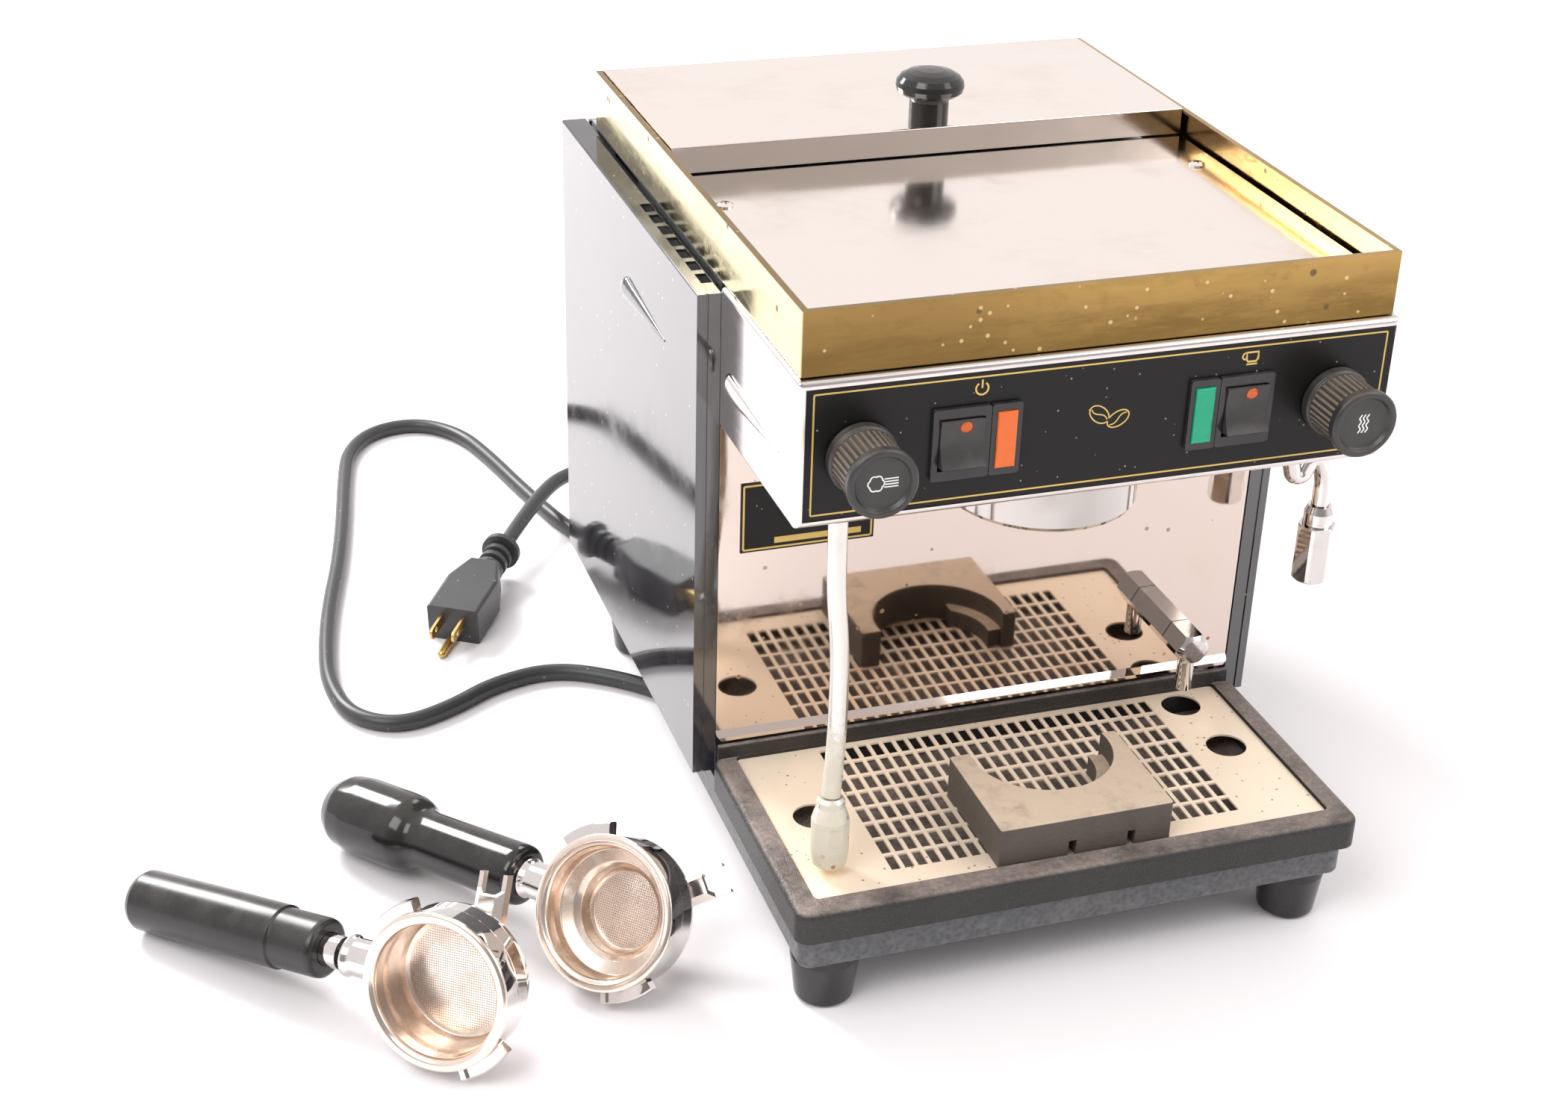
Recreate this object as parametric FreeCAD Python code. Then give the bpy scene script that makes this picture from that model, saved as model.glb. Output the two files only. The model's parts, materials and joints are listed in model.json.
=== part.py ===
"""Single-group espresso coffee brewer with its two portafilters and mains lead.

Frame: millimetres, +X to the right of someone facing the control panel, +Y to
the back, +Z up.  The origin is on the table, at the centre of the footprint.
"""
import FreeCAD, Part
import math
import os

V = FreeCAD.Vector
UP = V(0, 0, 1)
RIGHT = V(1, 0, 0)
BACK = V(0, 1, 0)

# ---- driving dimensions -------------------------------------------------
SHEET = 1.2              # stainless and painted sheet
HEAD_HALF = 135.0        # half width of the control head
FRONT_Y = -160.0         # face of the control head
SPLASH_Y = -55.3         # back face of the polished splash sheet
REAR_Y = 190.3           # back of the painted side panels
HEAD_BOTTOM = 232.0
HEAD_TOP = 297.4
SIDE_HALF = 145.8        # outer face of the painted side panels
SIDE_BOTTOM = 51.4
SIDE_TOP = 294.9
FLANGE_INNER = 134.9     # inner edge of the side panels' front flanges
PAN_HALF = 133.6
PAN_FRONT = -185.2
PAN_BACK = 186.0
PAN_BOTTOM = 26.6
PAN_TOP = 44.0
TRAY_HALF = 137.0
TRAY_FRONT = -190.3
TRAY_TOP = 59.5
GRID_TOP = 57.8
GALLERY_HALF = 133.0
GALLERY_FRONT = -157.5
GALLERY_BACK = 169.5
GALLERY_TOP = 325.9
CUP_TRAY_TOP = 313.4
LID_FRONT = 41.6
LID_TOP = 327.0
SWITCH_X = 64.5
LAMP_X = 44.8
PANEL_Z = 263.0          # height of the switches and lamps
ROCKER_Y = -158.5        # axle of both rockers
ROCKER_TRAVEL = 18.0     # degrees from off to on
AXLE_R = 1.4             # rocker axle pins
TAP_X = 107.5
TAP_Z = 262.3            # height of the two tap knobs
GROUP = V(0, -104.2, 206.0)      # centre of the group ring's lower face
GROUP_R = 43.0
BASKET_RIM_R = 35.0
BASKET_WALL = 0.7
MOUTH_R = 29.3           # straight mouth of both baskets
MOUTH_DEPTH = 8.0
STEAM_BALL = V(-107.0, -136.0, 241.0)
WATER_BALL = V(121.0, -100.0, 241.0)
BALL_R = 8.0
BOILER = V(0, 2.0, 168.0)
BOILER_R = 46.0
DRAIN = V(96.0, 0, 100.0)        # axis of the drain fitting, along Y
SOLENOID_FRONT = -44.0
CORD_D = 9.0
FIT = 0.3                # gap between pieces that move past each other


# ---- shape helpers ------------------------------------------------------
def box(x0, x1, y0, y1, z0, z1):
    return Part.makeBox(x1 - x0, y1 - y0, z1 - z0, V(x0, y0, z0))


def rod(radius, start, end):
    way = end - start
    return Part.makeCylinder(radius, way.Length, start, way)


def taper(radius0, radius1, start, end):
    way = end - start
    return Part.makeCone(radius0, radius1, way.Length, start, way)


def prism(points, way):
    return Part.Face(Part.makePolygon(points + [points[0]])).extrude(way)


def fused(shapes):
    return shapes[0].multiFuse(shapes[1:]).removeSplitter()


def cut(shape, tools):
    return shape.cut(Part.makeCompound(tools))


def side_of(axis):
    """A unit vector square to the axis."""
    helper = UP if abs(axis.z) < 0.9 else RIGHT
    return axis.cross(helper).normalize()


def turned(outline, base, axis):
    """Solid of revolution: the outline holds (radius, height along the axis)."""
    side = side_of(axis)
    points = [base + side * r + axis * h for r, h in outline]
    face = Part.Face(Part.makePolygon(points + [points[0]]))
    return face.revolve(base, axis, 360)


def ring(outer, inner, height, base, axis):
    body = Part.makeCylinder(outer, height, base, axis)
    bore = Part.makeCylinder(inner, height + 2, base - axis, axis)
    return body.cut(bore)


def rounded(shape, radius, wanted):
    return shape.makeFillet(radius, [edge for edge in shape.Edges if wanted(edge)])


def along(edge, axis, tolerance=0.01):
    """True for a straight edge that runs along 'x', 'y' or 'z'."""
    box_ = edge.BoundBox
    sizes = {"x": box_.XLength, "y": box_.YLength, "z": box_.ZLength}
    own = sizes.pop(axis)
    return own > tolerance and max(sizes.values()) < tolerance


def block(x0, x1, y0, y1, z0, z1, radius):
    """Box with its four upright edges rounded."""
    return rounded(box(x0, x1, y0, y1, z0, z1), radius, lambda e: along(e, "z"))


def mirrored(shape):
    return shape.mirror(V(0, 0, 0), RIGHT)


def hexagon(across_flats, start, end, turn=0.0):
    axis = (end - start).normalize()
    side = side_of(axis)
    other = axis.cross(side)
    radius = across_flats / math.sqrt(3)
    points = []
    for corner in range(6):
        angle = math.radians(60 * corner + turn)
        points.append(start + side * radius * math.cos(angle) + other * radius * math.sin(angle))
    return prism(points, end - start)


def wedge(radius, low, high, angle, half, centre):
    """Sector of a cylinder about +Z, centred on an angle in degrees."""
    steps = [angle - half, angle - half / 3, angle + half / 3, angle + half]
    points = [V(0, 0, low)]
    for step in steps:
        turn = math.radians(step)
        points.append(V(radius * math.cos(turn), radius * math.sin(turn), low))
    shape = prism(points, V(0, 0, high - low))
    shape.translate(centre)
    return shape


def rounded_path(points, radius_share=0.45):
    """Straight runs joined by tangent arcs, with the arcs' radii."""
    edges = []
    radii = []
    last = points[0]
    for before, corner, after in zip(points, points[1:], points[2:]):
        into = (corner - before).normalize()
        out = (after - corner).normalize()
        half = into.getAngle(out) / 2
        reach = radius_share * min((corner - before).Length, (after - corner).Length)
        radius = reach / math.tan(half)
        start = corner - into * reach
        end = corner + out * reach
        inward = (out - into).normalize()
        middle = corner + inward * (radius / math.cos(half) - radius)
        edges.append(Part.LineSegment(last, start).toShape())
        edges.append(Part.Arc(start, middle, end).toShape())
        radii.append(radius)
        last = end
    edges.append(Part.LineSegment(last, points[-1]).toShape())
    return Part.Wire(edges), radii


def tube(points, outer, inner=0.0):
    """Round bar or pipe swept along straight runs and tangent arcs."""
    path, radii = rounded_path(points)
    way = points[1] - points[0]

    def swept(radius):
        circle = Part.Wire(Part.makeCircle(radius, points[0], way))
        return path.makePipeShell([circle], True, True)

    shape = swept(outer / 2)
    if inner:
        shape = shape.cut(swept(inner / 2))
    return shape, path.Length, radii


def save(name, *shapes):
    shape = shapes[0] if len(shapes) == 1 else Part.makeCompound(list(shapes))
    if not shape.isValid():
        print("invalid", name)
    shape.exportStep("parts/" + name + ".step")
    volume = sum(solid.Volume for solid in shape.Solids)
    print(name, len(shape.Solids), round(volume / 1000, 2))


# ---- base, feet and frame -----------------------------------------------
def base_pan():
    """Hammer-painted steel pan that carries the body and the drip tray."""
    outer = block(-PAN_HALF, PAN_HALF, PAN_FRONT, PAN_BACK, PAN_BOTTOM, PAN_TOP, 6)
    outer = rounded(outer, 2, lambda e: e.BoundBox.ZMax < PAN_BOTTOM + 0.1)
    inner = block(-PAN_HALF + SHEET, PAN_HALF - SHEET, PAN_FRONT + SHEET, PAN_BACK - SHEET,
                  PAN_BOTTOM + SHEET, PAN_TOP + 1, 5)
    return outer.cut(inner)


def rubber_feet():
    feet = []
    outline = [(0, 0), (11, 0), (13.4, 2), (15.8, PAN_BOTTOM - 4), (14.8, PAN_BOTTOM), (0, PAN_BOTTOM)]
    for x in (-116.7, 116.7):
        for y in (-168.6, 150.0):
            feet.append(turned(outline, V(x, y, 0), UP))
    return feet


def chassis_frame():
    """Folded floor plate, four corner posts, top rails and the boiler saddles."""
    floor = box(-131.5, 131.5, -46, 184, PAN_TOP, PAN_TOP + 1.5)
    parts = [floor]
    top = 296.0
    for sign in (-1, 1):
        for y0, y1 in ((-46, -34), (172, 184)):
            post = box(119.5, 131.5, y0, y1, floor.BoundBox.ZMax, top)
            inner_y0 = y0 + 1.5 if y0 < 0 else y0 - 1
            inner_y1 = y1 + 1 if y0 < 0 else y1 - 1.5
            post = post.cut(box(118, 130, inner_y0, inner_y1, 0, top + 1))
            parts.append(post if sign > 0 else mirrored(post))
        rail = box(119.5, 131.5, -46, 184, top - 1.5, top)
        parts.append(rail if sign > 0 else mirrored(rail))
    parts.append(box(-131.5, 131.5, -46, -34, top - 1.5, top))
    parts.append(box(-131.5, 131.5, 172, 184, top - 1.5, top))
    shelf = fused([box(-118, 118, 62, 172, 135.5, 137.0), box(-131.5, 131.5, 170, 184, 135.5, 137.0)])
    parts.append(cut(shelf, [rod(13, V(36, 112, 130), V(36, 112, 140))]))
    for x0, x1 in ((-113.5, -112.0), (112.0, 113.5)):
        parts.append(box(x0, x1, 62, 68.5, floor.BoundBox.ZMax, 136))
    for x in (-55, 55):
        saddle = box(x - 1, x + 1, BOILER.y - 30, BOILER.y + 30, floor.BoundBox.ZMax, BOILER.z - 20)
        saddle = saddle.cut(rod(BOILER_R + FIT, V(x - 5, BOILER.y, BOILER.z), V(x + 5, BOILER.y, BOILER.z)))
        parts.append(saddle)
    return fused(parts)


# ---- sheet-metal body ---------------------------------------------------
def louvre(x, y_tip, length, z, height, depth):
    """Pressed louvre on a face at x > 0: half a cone that ends in a dome."""
    start = V(x, y_tip, z)
    end = V(x, y_tip + length - height / 2, z)
    cone = taper(0.6, height / 2, start, end)
    dome = Part.makeSphere(height / 2, end)
    form = cone.fuse(dome)
    squash = FreeCAD.Matrix()
    squash.scale(depth / (height / 2), 1, 1)
    form.translate(V(-x, 0, 0))
    form = form.transformGeometry(squash)
    form.translate(V(x, 0, 0))
    return form.common(box(x - 0.1, x + depth + 1, y_tip - 5, y_tip + length + 5, z - 20, z + 20))


def side_panel():
    """Right-hand painted panel: skin, grooved front flange, vented top, returns."""
    skin = box(SIDE_HALF - SHEET, SIDE_HALF, SPLASH_Y - 1.6, REAR_Y, SIDE_BOTTOM, SIDE_TOP)
    flange = box(FLANGE_INNER, SIDE_HALF, SPLASH_Y - 1.6, SPLASH_Y + 9, SIDE_BOTTOM, SIDE_TOP)
    hollow = box(FLANGE_INNER + SHEET, SIDE_HALF - SHEET, SPLASH_Y - 0.4, SPLASH_Y + 10, SIDE_BOTTOM - 1,
                 SIDE_TOP - SHEET)
    flange = flange.cut(hollow)
    groove = box(140.6, 142.0, SPLASH_Y - 2.6, SPLASH_Y - 0.9, SIDE_BOTTOM - 1, SIDE_TOP + 1)
    top = box(GALLERY_HALF + 0.4, SIDE_HALF, SPLASH_Y + 9, REAR_Y, SIDE_TOP - SHEET, SIDE_TOP)
    bottom = box(SIDE_HALF - 9, SIDE_HALF, SPLASH_Y + 9, REAR_Y, SIDE_BOTTOM, SIDE_BOTTOM + SHEET)
    back = box(SIDE_HALF - 12, SIDE_HALF, REAR_Y - SHEET, REAR_Y, SIDE_BOTTOM, SIDE_TOP)
    panel = fused([skin, flange, top, bottom, back])
    vents = []
    for slot in range(7):
        y = -38.6 + 15.3 * slot
        vents.append(box(135.2, 140.2, y - 5.5, y + 5.5, SIDE_TOP - 5, SIDE_TOP + 1))
    panel = cut(panel, vents + [groove])
    corner = lambda e: along(e, "y") and e.BoundBox.XMin > SIDE_HALF - 0.1 and e.BoundBox.ZMin > SIDE_TOP - 0.1
    panel = rounded(panel, 1.0, corner)
    return panel.fuse(louvre(SIDE_HALF, -6.0, 71.5, 252.8, 11.5, 3.0)).removeSplitter()


def splash_panel():
    """Mirror-polished sheet behind the cups, kicked forward at its bottom edge."""
    front = SPLASH_Y - 1.0
    outline = [(SPLASH_Y, 231.6), (front, 231.6), (front, 72.6), (front - 2.6, 69.6), (front - 2.6, 67.8),
               (front - 1.6, 67.8), (front - 1.6, 69.2), (SPLASH_Y, 72.2)]
    points = [V(-134.4, y, z) for y, z in outline]
    sheet = prism(points, V(268.8, 0, 0))
    trims = []
    for sign in (-1, 1):
        tip = [V(sign * 134.6, -50, 60), V(sign * 134.6, -50, 71), V(sign * 127, -50, 60)]
        trims.append(prism(tip, V(0, -12, 0)))
    trims.append(rod(5.6, V(DRAIN.x, -60, DRAIN.z), V(DRAIN.x, -50, DRAIN.z)))
    return cut(sheet, trims)


def back_panel():
    """Painted rear cover with two rows of cooling slots and the lead's hole."""
    y0 = REAR_Y - SHEET - 0.3 - SHEET
    panel = box(-132.6, 132.6, y0, y0 + SHEET, SIDE_BOTTOM, SIDE_TOP)
    lip = box(-132.6, 132.6, y0 - 2.0, y0 + SHEET, SIDE_TOP - SHEET, SIDE_TOP)
    holes = [rod(8.5, V(LEAD_X, y0 - 5, LEAD_Z), V(LEAD_X, y0 + 5, LEAD_Z))]
    for row in range(8):
        for x in (-70, 0, 70):
            z = 180 + 9 * row
            holes.append(box(x - 25, x + 25, y0 - 1, y0 + 2, z, z + 3.2))
    return cut(fused([panel, lip]), holes)


def head_shell():
    """Polished box over the controls, rounded at the front, open to the body."""
    back = SPLASH_Y - 2.0
    front = FRONT_Y - 0.8
    outer = box(-HEAD_HALF, HEAD_HALF, front, back, HEAD_BOTTOM, HEAD_TOP)
    outer = rounded(outer, 2.6, lambda e: e.BoundBox.YMax < front + 0.1)
    outer = rounded(outer, 1.6, lambda e: along(e, "y"))
    inner = box(-HEAD_HALF + SHEET, HEAD_HALF - SHEET, FRONT_Y + 1.6, back + 1, HEAD_BOTTOM + SHEET,
                HEAD_TOP - SHEET)
    recess = box(-131.6, 133.4, front - 1, FRONT_Y + 0.4, 235.0, 293.8)
    shell = outer.cut(inner).cut(recess)
    openings = panel_cutouts(0.25)
    openings.append(rod(GROUP_R + 1.2, V(0, GROUP.y, 225), V(0, GROUP.y, HEAD_BOTTOM + 3)))
    for ball in (STEAM_BALL, WATER_BALL):
        openings.append(rod(15.0, V(ball.x, ball.y, 225), V(ball.x, ball.y, HEAD_BOTTOM + 3)))
    shell = cut(shell, openings)
    pressed = louvre(HEAD_HALF, -138.6, 72.4, 257.5, 11.5, 2.6)
    return shell.fuse(pressed).fuse(mirrored(pressed)).removeSplitter()


def panel_cutouts(gap):
    """Holes through the head's front for the switches, lamps and spindles."""
    holes = []
    for sign in (-1, 1):
        for x, half in ((SWITCH_X, 10.9), (LAMP_X, 5.1)):
            x *= sign
            holes.append(box(x - half - gap, x + half + gap, FRONT_Y - 5, FRONT_Y + 5,
                             PANEL_Z - 14.0 - gap, PANEL_Z + 14.0 + gap))
        holes.append(rod(6.0 + gap, V(sign * TAP_X, FRONT_Y - 5, TAP_Z), V(sign * TAP_X, FRONT_Y + 5, TAP_Z)))
    return holes


def control_fascia():
    plate = box(-131.2, 133.0, FRONT_Y - 0.2, FRONT_Y + 0.4, 235.3, 293.5)
    return cut(plate, panel_cutouts(0.2))


# ---- switches and lamps -------------------------------------------------
def switch_housing(sign):
    x = sign * SWITCH_X
    bezel = box(x - 12.7, x + 12.7, FRONT_Y - 2.2, FRONT_Y - 0.2, PANEL_Z - 16, PANEL_Z + 16)
    bezel = rounded(bezel, 1.2, lambda e: along(e, "y"))
    body = box(x - 10.9, x + 10.9, FRONT_Y - 0.2, FRONT_Y + 20, PANEL_Z - 14, PANEL_Z + 14)
    well = box(x - 10.0, x + 10.0, FRONT_Y - 3, FRONT_Y + 9, PANEL_Z - 11.6, PANEL_Z + 11.6)
    tabs = [box(x - 3.2 + dx, x - 2.4 + dx, FRONT_Y + 20, FRONT_Y + 28, PANEL_Z - 3, PANEL_Z + 3) for dx in (-5, 5, 0)]
    bearing = rod(AXLE_R + FIT, V(x - 10.6, ROCKER_Y, PANEL_Z), V(x + 10.6, ROCKER_Y, PANEL_Z))
    return cut(fused([bezel, body] + tabs), [well, bearing])


def rocker(sign):
    """Rocker with a hollowed face and axle pins, at rest turned back about its axle along X."""
    axle = V(sign * SWITCH_X - 9.6, ROCKER_Y, PANEL_Z)
    face = [axle + V(0, -7.2, 10.1), axle + V(0, -4.9, 0), axle + V(0, -7.2, -10.1)]
    rear = [face[2], axle + V(0, -1.5, -10.1), axle + V(0, 3.5, -4), axle + V(0, 3.5, 4),
            axle + V(0, -1.5, 10.1), face[0]]
    hollow = Part.Arc(face[0], face[1], face[2]).toShape()
    outline = Part.Wire([hollow] + Part.makePolygon(rear).Edges)
    shape = Part.Face(outline).extrude(V(19.2, 0, 0))
    shape.rotate(axle, RIGHT, -ROCKER_TRAVEL / 2)
    return fused([shape, rod(AXLE_R, axle - RIGHT * 0.8, axle + RIGHT * 20)])


def lamp_housing(sign):
    x = sign * LAMP_X
    bezel = box(x - 6.7, x + 6.7, FRONT_Y - 2.2, FRONT_Y - 0.2, PANEL_Z - 16, PANEL_Z + 16)
    bezel = rounded(bezel, 1.2, lambda e: along(e, "y"))
    body = box(x - 5.1, x + 5.1, FRONT_Y - 0.2, FRONT_Y + 20, PANEL_Z - 14, PANEL_Z + 14)
    well = box(x - 4.5, x + 4.5, FRONT_Y - 3, FRONT_Y + 12, PANEL_Z - 12.7, PANEL_Z + 12.7)
    return bezel.fuse(body).cut(well).removeSplitter()


def lamp_lens(sign):
    x = sign * LAMP_X
    lens = box(x - 4.4, x + 4.4, FRONT_Y - 3.6, FRONT_Y + 3, PANEL_Z - 12.6, PANEL_Z + 12.6)
    return rounded(lens, 1.0, lambda e: e.BoundBox.YMax < FRONT_Y - 3.5)


# ---- taps ---------------------------------------------------------------
def tap_knob(sign):
    """Knob with a plain base, a fluted grip and a dished front rim."""
    x = sign * TAP_X
    base = V(x, FRONT_Y - 0.9, TAP_Z)
    outline = [(4.3, 0), (15.2, 0), (15.2, 4.2), (14.2, 5), (14.2, 22), (15.0, 23), (15.0, 26.2), (14.2, 27),
               (12.2, 27), (11.0, 25.2), (0, 25.2), (0, 14), (4.3, 14)]
    knob = turned(outline, base, V(0, -1, 0))
    flutes = []
    for flute in range(22):
        angle = 2 * math.pi * flute / 22
        centre = base + V(14.9 * math.cos(angle), -5, 14.9 * math.sin(angle))
        flutes.append(Part.makeCylinder(1.15, 17, centre, V(0, -1, 0)))
    return cut(knob, flutes)


def tap_spindle(sign):
    x = sign * TAP_X
    start = V(x, FRONT_Y - 11.5, TAP_Z)
    outline = [(0, 0), (4.0, 0), (4.0, 16), (4.8, 17), (4.8, 28), (3.0, 29), (3.0, 37), (0, 40)]
    return turned(outline, start, BACK)


def tap_valve_body(sign):
    """Brass valve: bonnet behind the panel and a leg down to the ball joint."""
    x = sign * TAP_X
    ball = STEAM_BALL if sign < 0 else WATER_BALL
    depth = 32.0 if sign < 0 else 66.0
    start = V(x, FRONT_Y + 2.2, TAP_Z)
    bonnet = hexagon(20, start, start + V(0, 9, 0))
    barrel = rod(9.5, start + V(0, 9, 0), start + V(0, depth, 0))
    leg = rod(8.0, V(ball.x, ball.y, 252), V(ball.x, ball.y, TAP_Z))
    parts = [bonnet, barrel, leg]
    if sign > 0:
        parts.append(rod(8.0, V(x, ball.y, TAP_Z), V(ball.x, ball.y, TAP_Z)))
    inlet = V(x, start.y + depth, TAP_Z)
    parts.append(rod(5.0, inlet - V(0, 2, 0), inlet + V(0, 8, 0)))
    bore = rod(5.1, start - V(0, 1, 0), start + V(0, 30, 0))
    return fused(parts).cut(bore)


def ball_nut(ball):
    """Hexagon nut whose conical mouth holds the wand's ball."""
    top = V(ball.x, ball.y, 251.8)
    body = hexagon(24, V(ball.x, ball.y, 229.5), top)
    hollow = turned([(0, 1), (9.0, 1), (9.0, -14.0), (7.5, -14.0), (7.5, -14.6), (10.6, -23), (0, -23)], top, UP)
    return body.cut(hollow)


def ball_seat(ball):
    """Seal ring above the ball."""
    base = V(ball.x, ball.y, ball.z + 6.4)
    seat = ring(8.6, 5.2, 3.6, base, UP)
    return seat.cut(Part.makeSphere(BALL_R + FIT, ball))


STEAM_TIP = V(-112.4, -158.0, 61.2)
STEAM_WAY = (STEAM_TIP - STEAM_BALL).normalize()


def steam_wand_tube():
    """Steam pipe with a slight double bend below the ball."""
    reach = (STEAM_TIP - STEAM_BALL).Length
    aside = V(2.6, 0, 0)
    stations = [(0, 0.1), (52, 0.0), (80, 1.0), (118, 0.8), (reach - 34.0, 0.0)]
    points = [STEAM_BALL + STEAM_WAY * s + aside * k for s, k in stations]
    points[0] = STEAM_BALL
    pipe = tube(points, 8.5)[0]
    return fused([Part.makeSphere(BALL_R, STEAM_BALL), pipe])


def steam_wand_tip():
    """Round nozzle with a shouldered neck; it covers the end of the pipe."""
    outline = [(0, 0), (6.0, 0), (7.6, 1.6), (8.5, 8), (8.5, 23), (7.4, 26.5), (6.4, 29), (6.4, 32), (5.2, 33.6),
               (0, 33.6)]
    tip = turned(outline, STEAM_TIP, STEAM_WAY * -1)
    across = STEAM_WAY.cross(RIGHT).normalize()
    flat = Part.makeBox(20, 4, 9, V(-10, 7.9, 12))
    flat.Placement = FreeCAD.Placement(STEAM_TIP, FreeCAD.Rotation(RIGHT, across, STEAM_WAY * -1, "ZYX"))
    return tip.cut(flat)


def water_wand_tube():
    """Hot-water pipe: a short swan neck that clears the head's side."""
    leg = [WATER_BALL, V(127.6, -100, 208.5)]
    low = V(133.4, -100, 187.0)
    crest = V(141.6, -100, 206.0)
    drop = [V(148.2, -100, 193.0), V(148.3, -100, 177.0)]
    pipe = tube(leg + [low, crest] + drop, 8.5)[0]
    return fused([Part.makeSphere(BALL_R, WATER_BALL), pipe])


def water_wand_tip():
    """Flatted nozzle below a shouldered collar."""
    tip = V(148.3, -100, 137.4)
    outline = [(0, 0), (7.6, 0), (9.0, 1.4), (9.0, 29), (7.0, 31.6), (7.0, 36), (5.6, 39.4), (0, 39.4)]
    body = turned(outline, tip, UP)
    core = hexagon(16.4, tip - V(0, 0, 1), tip + V(0, 0, 29.5), 20)
    collar = rod(7.1, tip + V(0, 0, 27), tip + V(0, 0, 41))
    return body.common(fused([core, collar]))


# ---- group and boiler ---------------------------------------------------
def group_head():
    """Group casting: bayonet ring below, spray boss inside, neck to the boiler."""
    outline = [(36.2, 0), (40.4, 0), (42.2, 0.7), (GROUP_R, 2.4), (GROUP_R, 27), (38, 30), (38, 34), (0, 34),
               (0, 10), (26, 10), (26, 16), (40.9, 16), (40.9, 6.5), (36.2, 6.5)]
    bell = turned(outline, GROUP, UP)
    notches = []
    for angle in (0, 180):
        notches.append(wedge(41.5, -1, 6.6, angle, 22, GROUP))
    gate = Part.makeCylinder(40.9, 8, GROUP - UP, UP)
    bell = bell.cut(Part.makeCompound([notch.common(gate) for notch in notches]))
    top = GROUP.z + 34
    neck = box(-16, 16, GROUP.y, BOILER.y + 16, top, top + 22)
    neck = rounded(neck, 5, lambda e: along(e, "y") and e.BoundBox.ZMin > top + 21)
    stub = rod(13, V(0, BOILER.y, BOILER.z + BOILER_R + 0.4), V(0, BOILER.y, top + 4))
    return fused([bell, neck, stub])


def group_gasket():
    return ring(36.0, 28.8, 7.4, GROUP + UP * 8.5, UP)


def shower_screen():
    """Shallow dish with a ring of water holes, held under the spray boss."""
    dish = turned([(0, 7.2), (28.4, 7.2), (28.4, 9.8), (27.4, 9.8), (27.4, 8.2), (0, 8.2)], GROUP, UP)
    holes = [Part.makeCylinder(1.3, 3, GROUP + UP * 6.5, UP)]
    for count, radius in ((8, 10), (14, 19)):
        for step in range(count):
            angle = 2 * math.pi * step / count
            holes.append(Part.makeCylinder(1.3, 3, GROUP + V(radius * math.cos(angle), radius * math.sin(angle), 6.5),
                                           UP))
    return cut(dish, holes)


def boiler_shell():
    """Copper vessel with domed ends, hollow, with a flanged right-hand end."""
    r = BOILER_R
    outer = [(0, -92), (18, -91), (33, -86), (r - 4, -78), (r, -68), (r, 72), (r - 6, 80), (r - 6, 84), (24, 84),
             (24, 78), (r - 9, 78), (r - 3, 70), (r - 3, -67), (r - 7, -75), (31, -83), (17, -88), (0, -89)]
    vessel = turned(outer, BOILER, RIGHT)
    return vessel


def heating_element():
    """Element plug with two hairpin loops inside the boiler and its tabs."""
    end = BOILER + V(84.2, 0, 0)
    parts = [Part.makeCylinder(30, 5, end, RIGHT), Part.makeCylinder(23.6, 8, end - V(8, 0, 0), RIGHT)]
    for turn in (-1, 1):
        y = end.y + 12 * turn
        points = [V(end.x - 6, y, end.z - 12), V(-40, y, end.z - 12), V(-58, y, end.z), V(-40, y, end.z + 12),
                  V(end.x - 6, y, end.z + 12)]
        parts.append(tube(points, 7.0)[0])
        parts.append(box(end.x + 5, end.x + 15, y - 3, y + 3, end.z - 0.5, end.z + 0.5))
    return fused(parts)


def safety_valve():
    base = V(-50, BOILER.y, BOILER.z + BOILER_R + 0.2)
    return fused([rod(7, base, base + UP * 6), hexagon(17, base + UP * 6, base + UP * 14),
                  rod(6.5, base + UP * 14, base + UP * 34)])


def pressurestat():
    base = V(-96, 34, 232)
    box_ = block(base.x - 16, base.x + 16, base.y - 22, base.y + 22, base.z, base.z + 46, 3)
    drum = Part.makeCylinder(19, 13, base - UP * 12, UP)
    return fused([box_, drum, Part.makeCylinder(5, 14, base - UP * 24, UP)])


def brew_solenoid():
    """Three-way valve behind the splash, with its coil."""
    x, z = DRAIN.x, DRAIN.z
    body = box(x - 13, x + 13, SOLENOID_FRONT, -26, z - 11, z + 11)
    inlet = rod(5.5, V(x, -35, z + 10), V(x, -35, z + 19))
    coil = block(x - 14, x + 14, -25.6, 8, z - 13.5, z + 13.5, 3)
    nut = rod(7, V(x, 8, z), V(x, 12, z))
    core = rod(4, V(x, -27, z), V(x, -24, z))
    return fused([body, inlet, coil, nut, core])


def pump():
    """Vibrating pump between two rubber blocks, with its suction hose."""
    axis = V(-105, 110, 84)
    body = [Part.makeCylinder(14, 88, axis, RIGHT), Part.makeCylinder(6, 108, axis - V(10, 0, 0), RIGHT),
            box(axis.x + 24, axis.x + 66, 88, 132, 62, 106)]
    blocks = []
    for x in (axis.x + 6, axis.x + 74):
        foot = block(x - 5, x + 5, 92, 128, PAN_TOP + 1.5, 102, 3)
        blocks.append(foot.cut(rod(14.0, V(x - 9, 110, 84), V(x + 9, 110, 84))))
    hose = tube([V(3.3, 110, 84), V(20, 110, 84), V(34, 111, 98), V(36, 112, 129.7)], 9)[0]
    return [fused(body)] + blocks + [hose]


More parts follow.
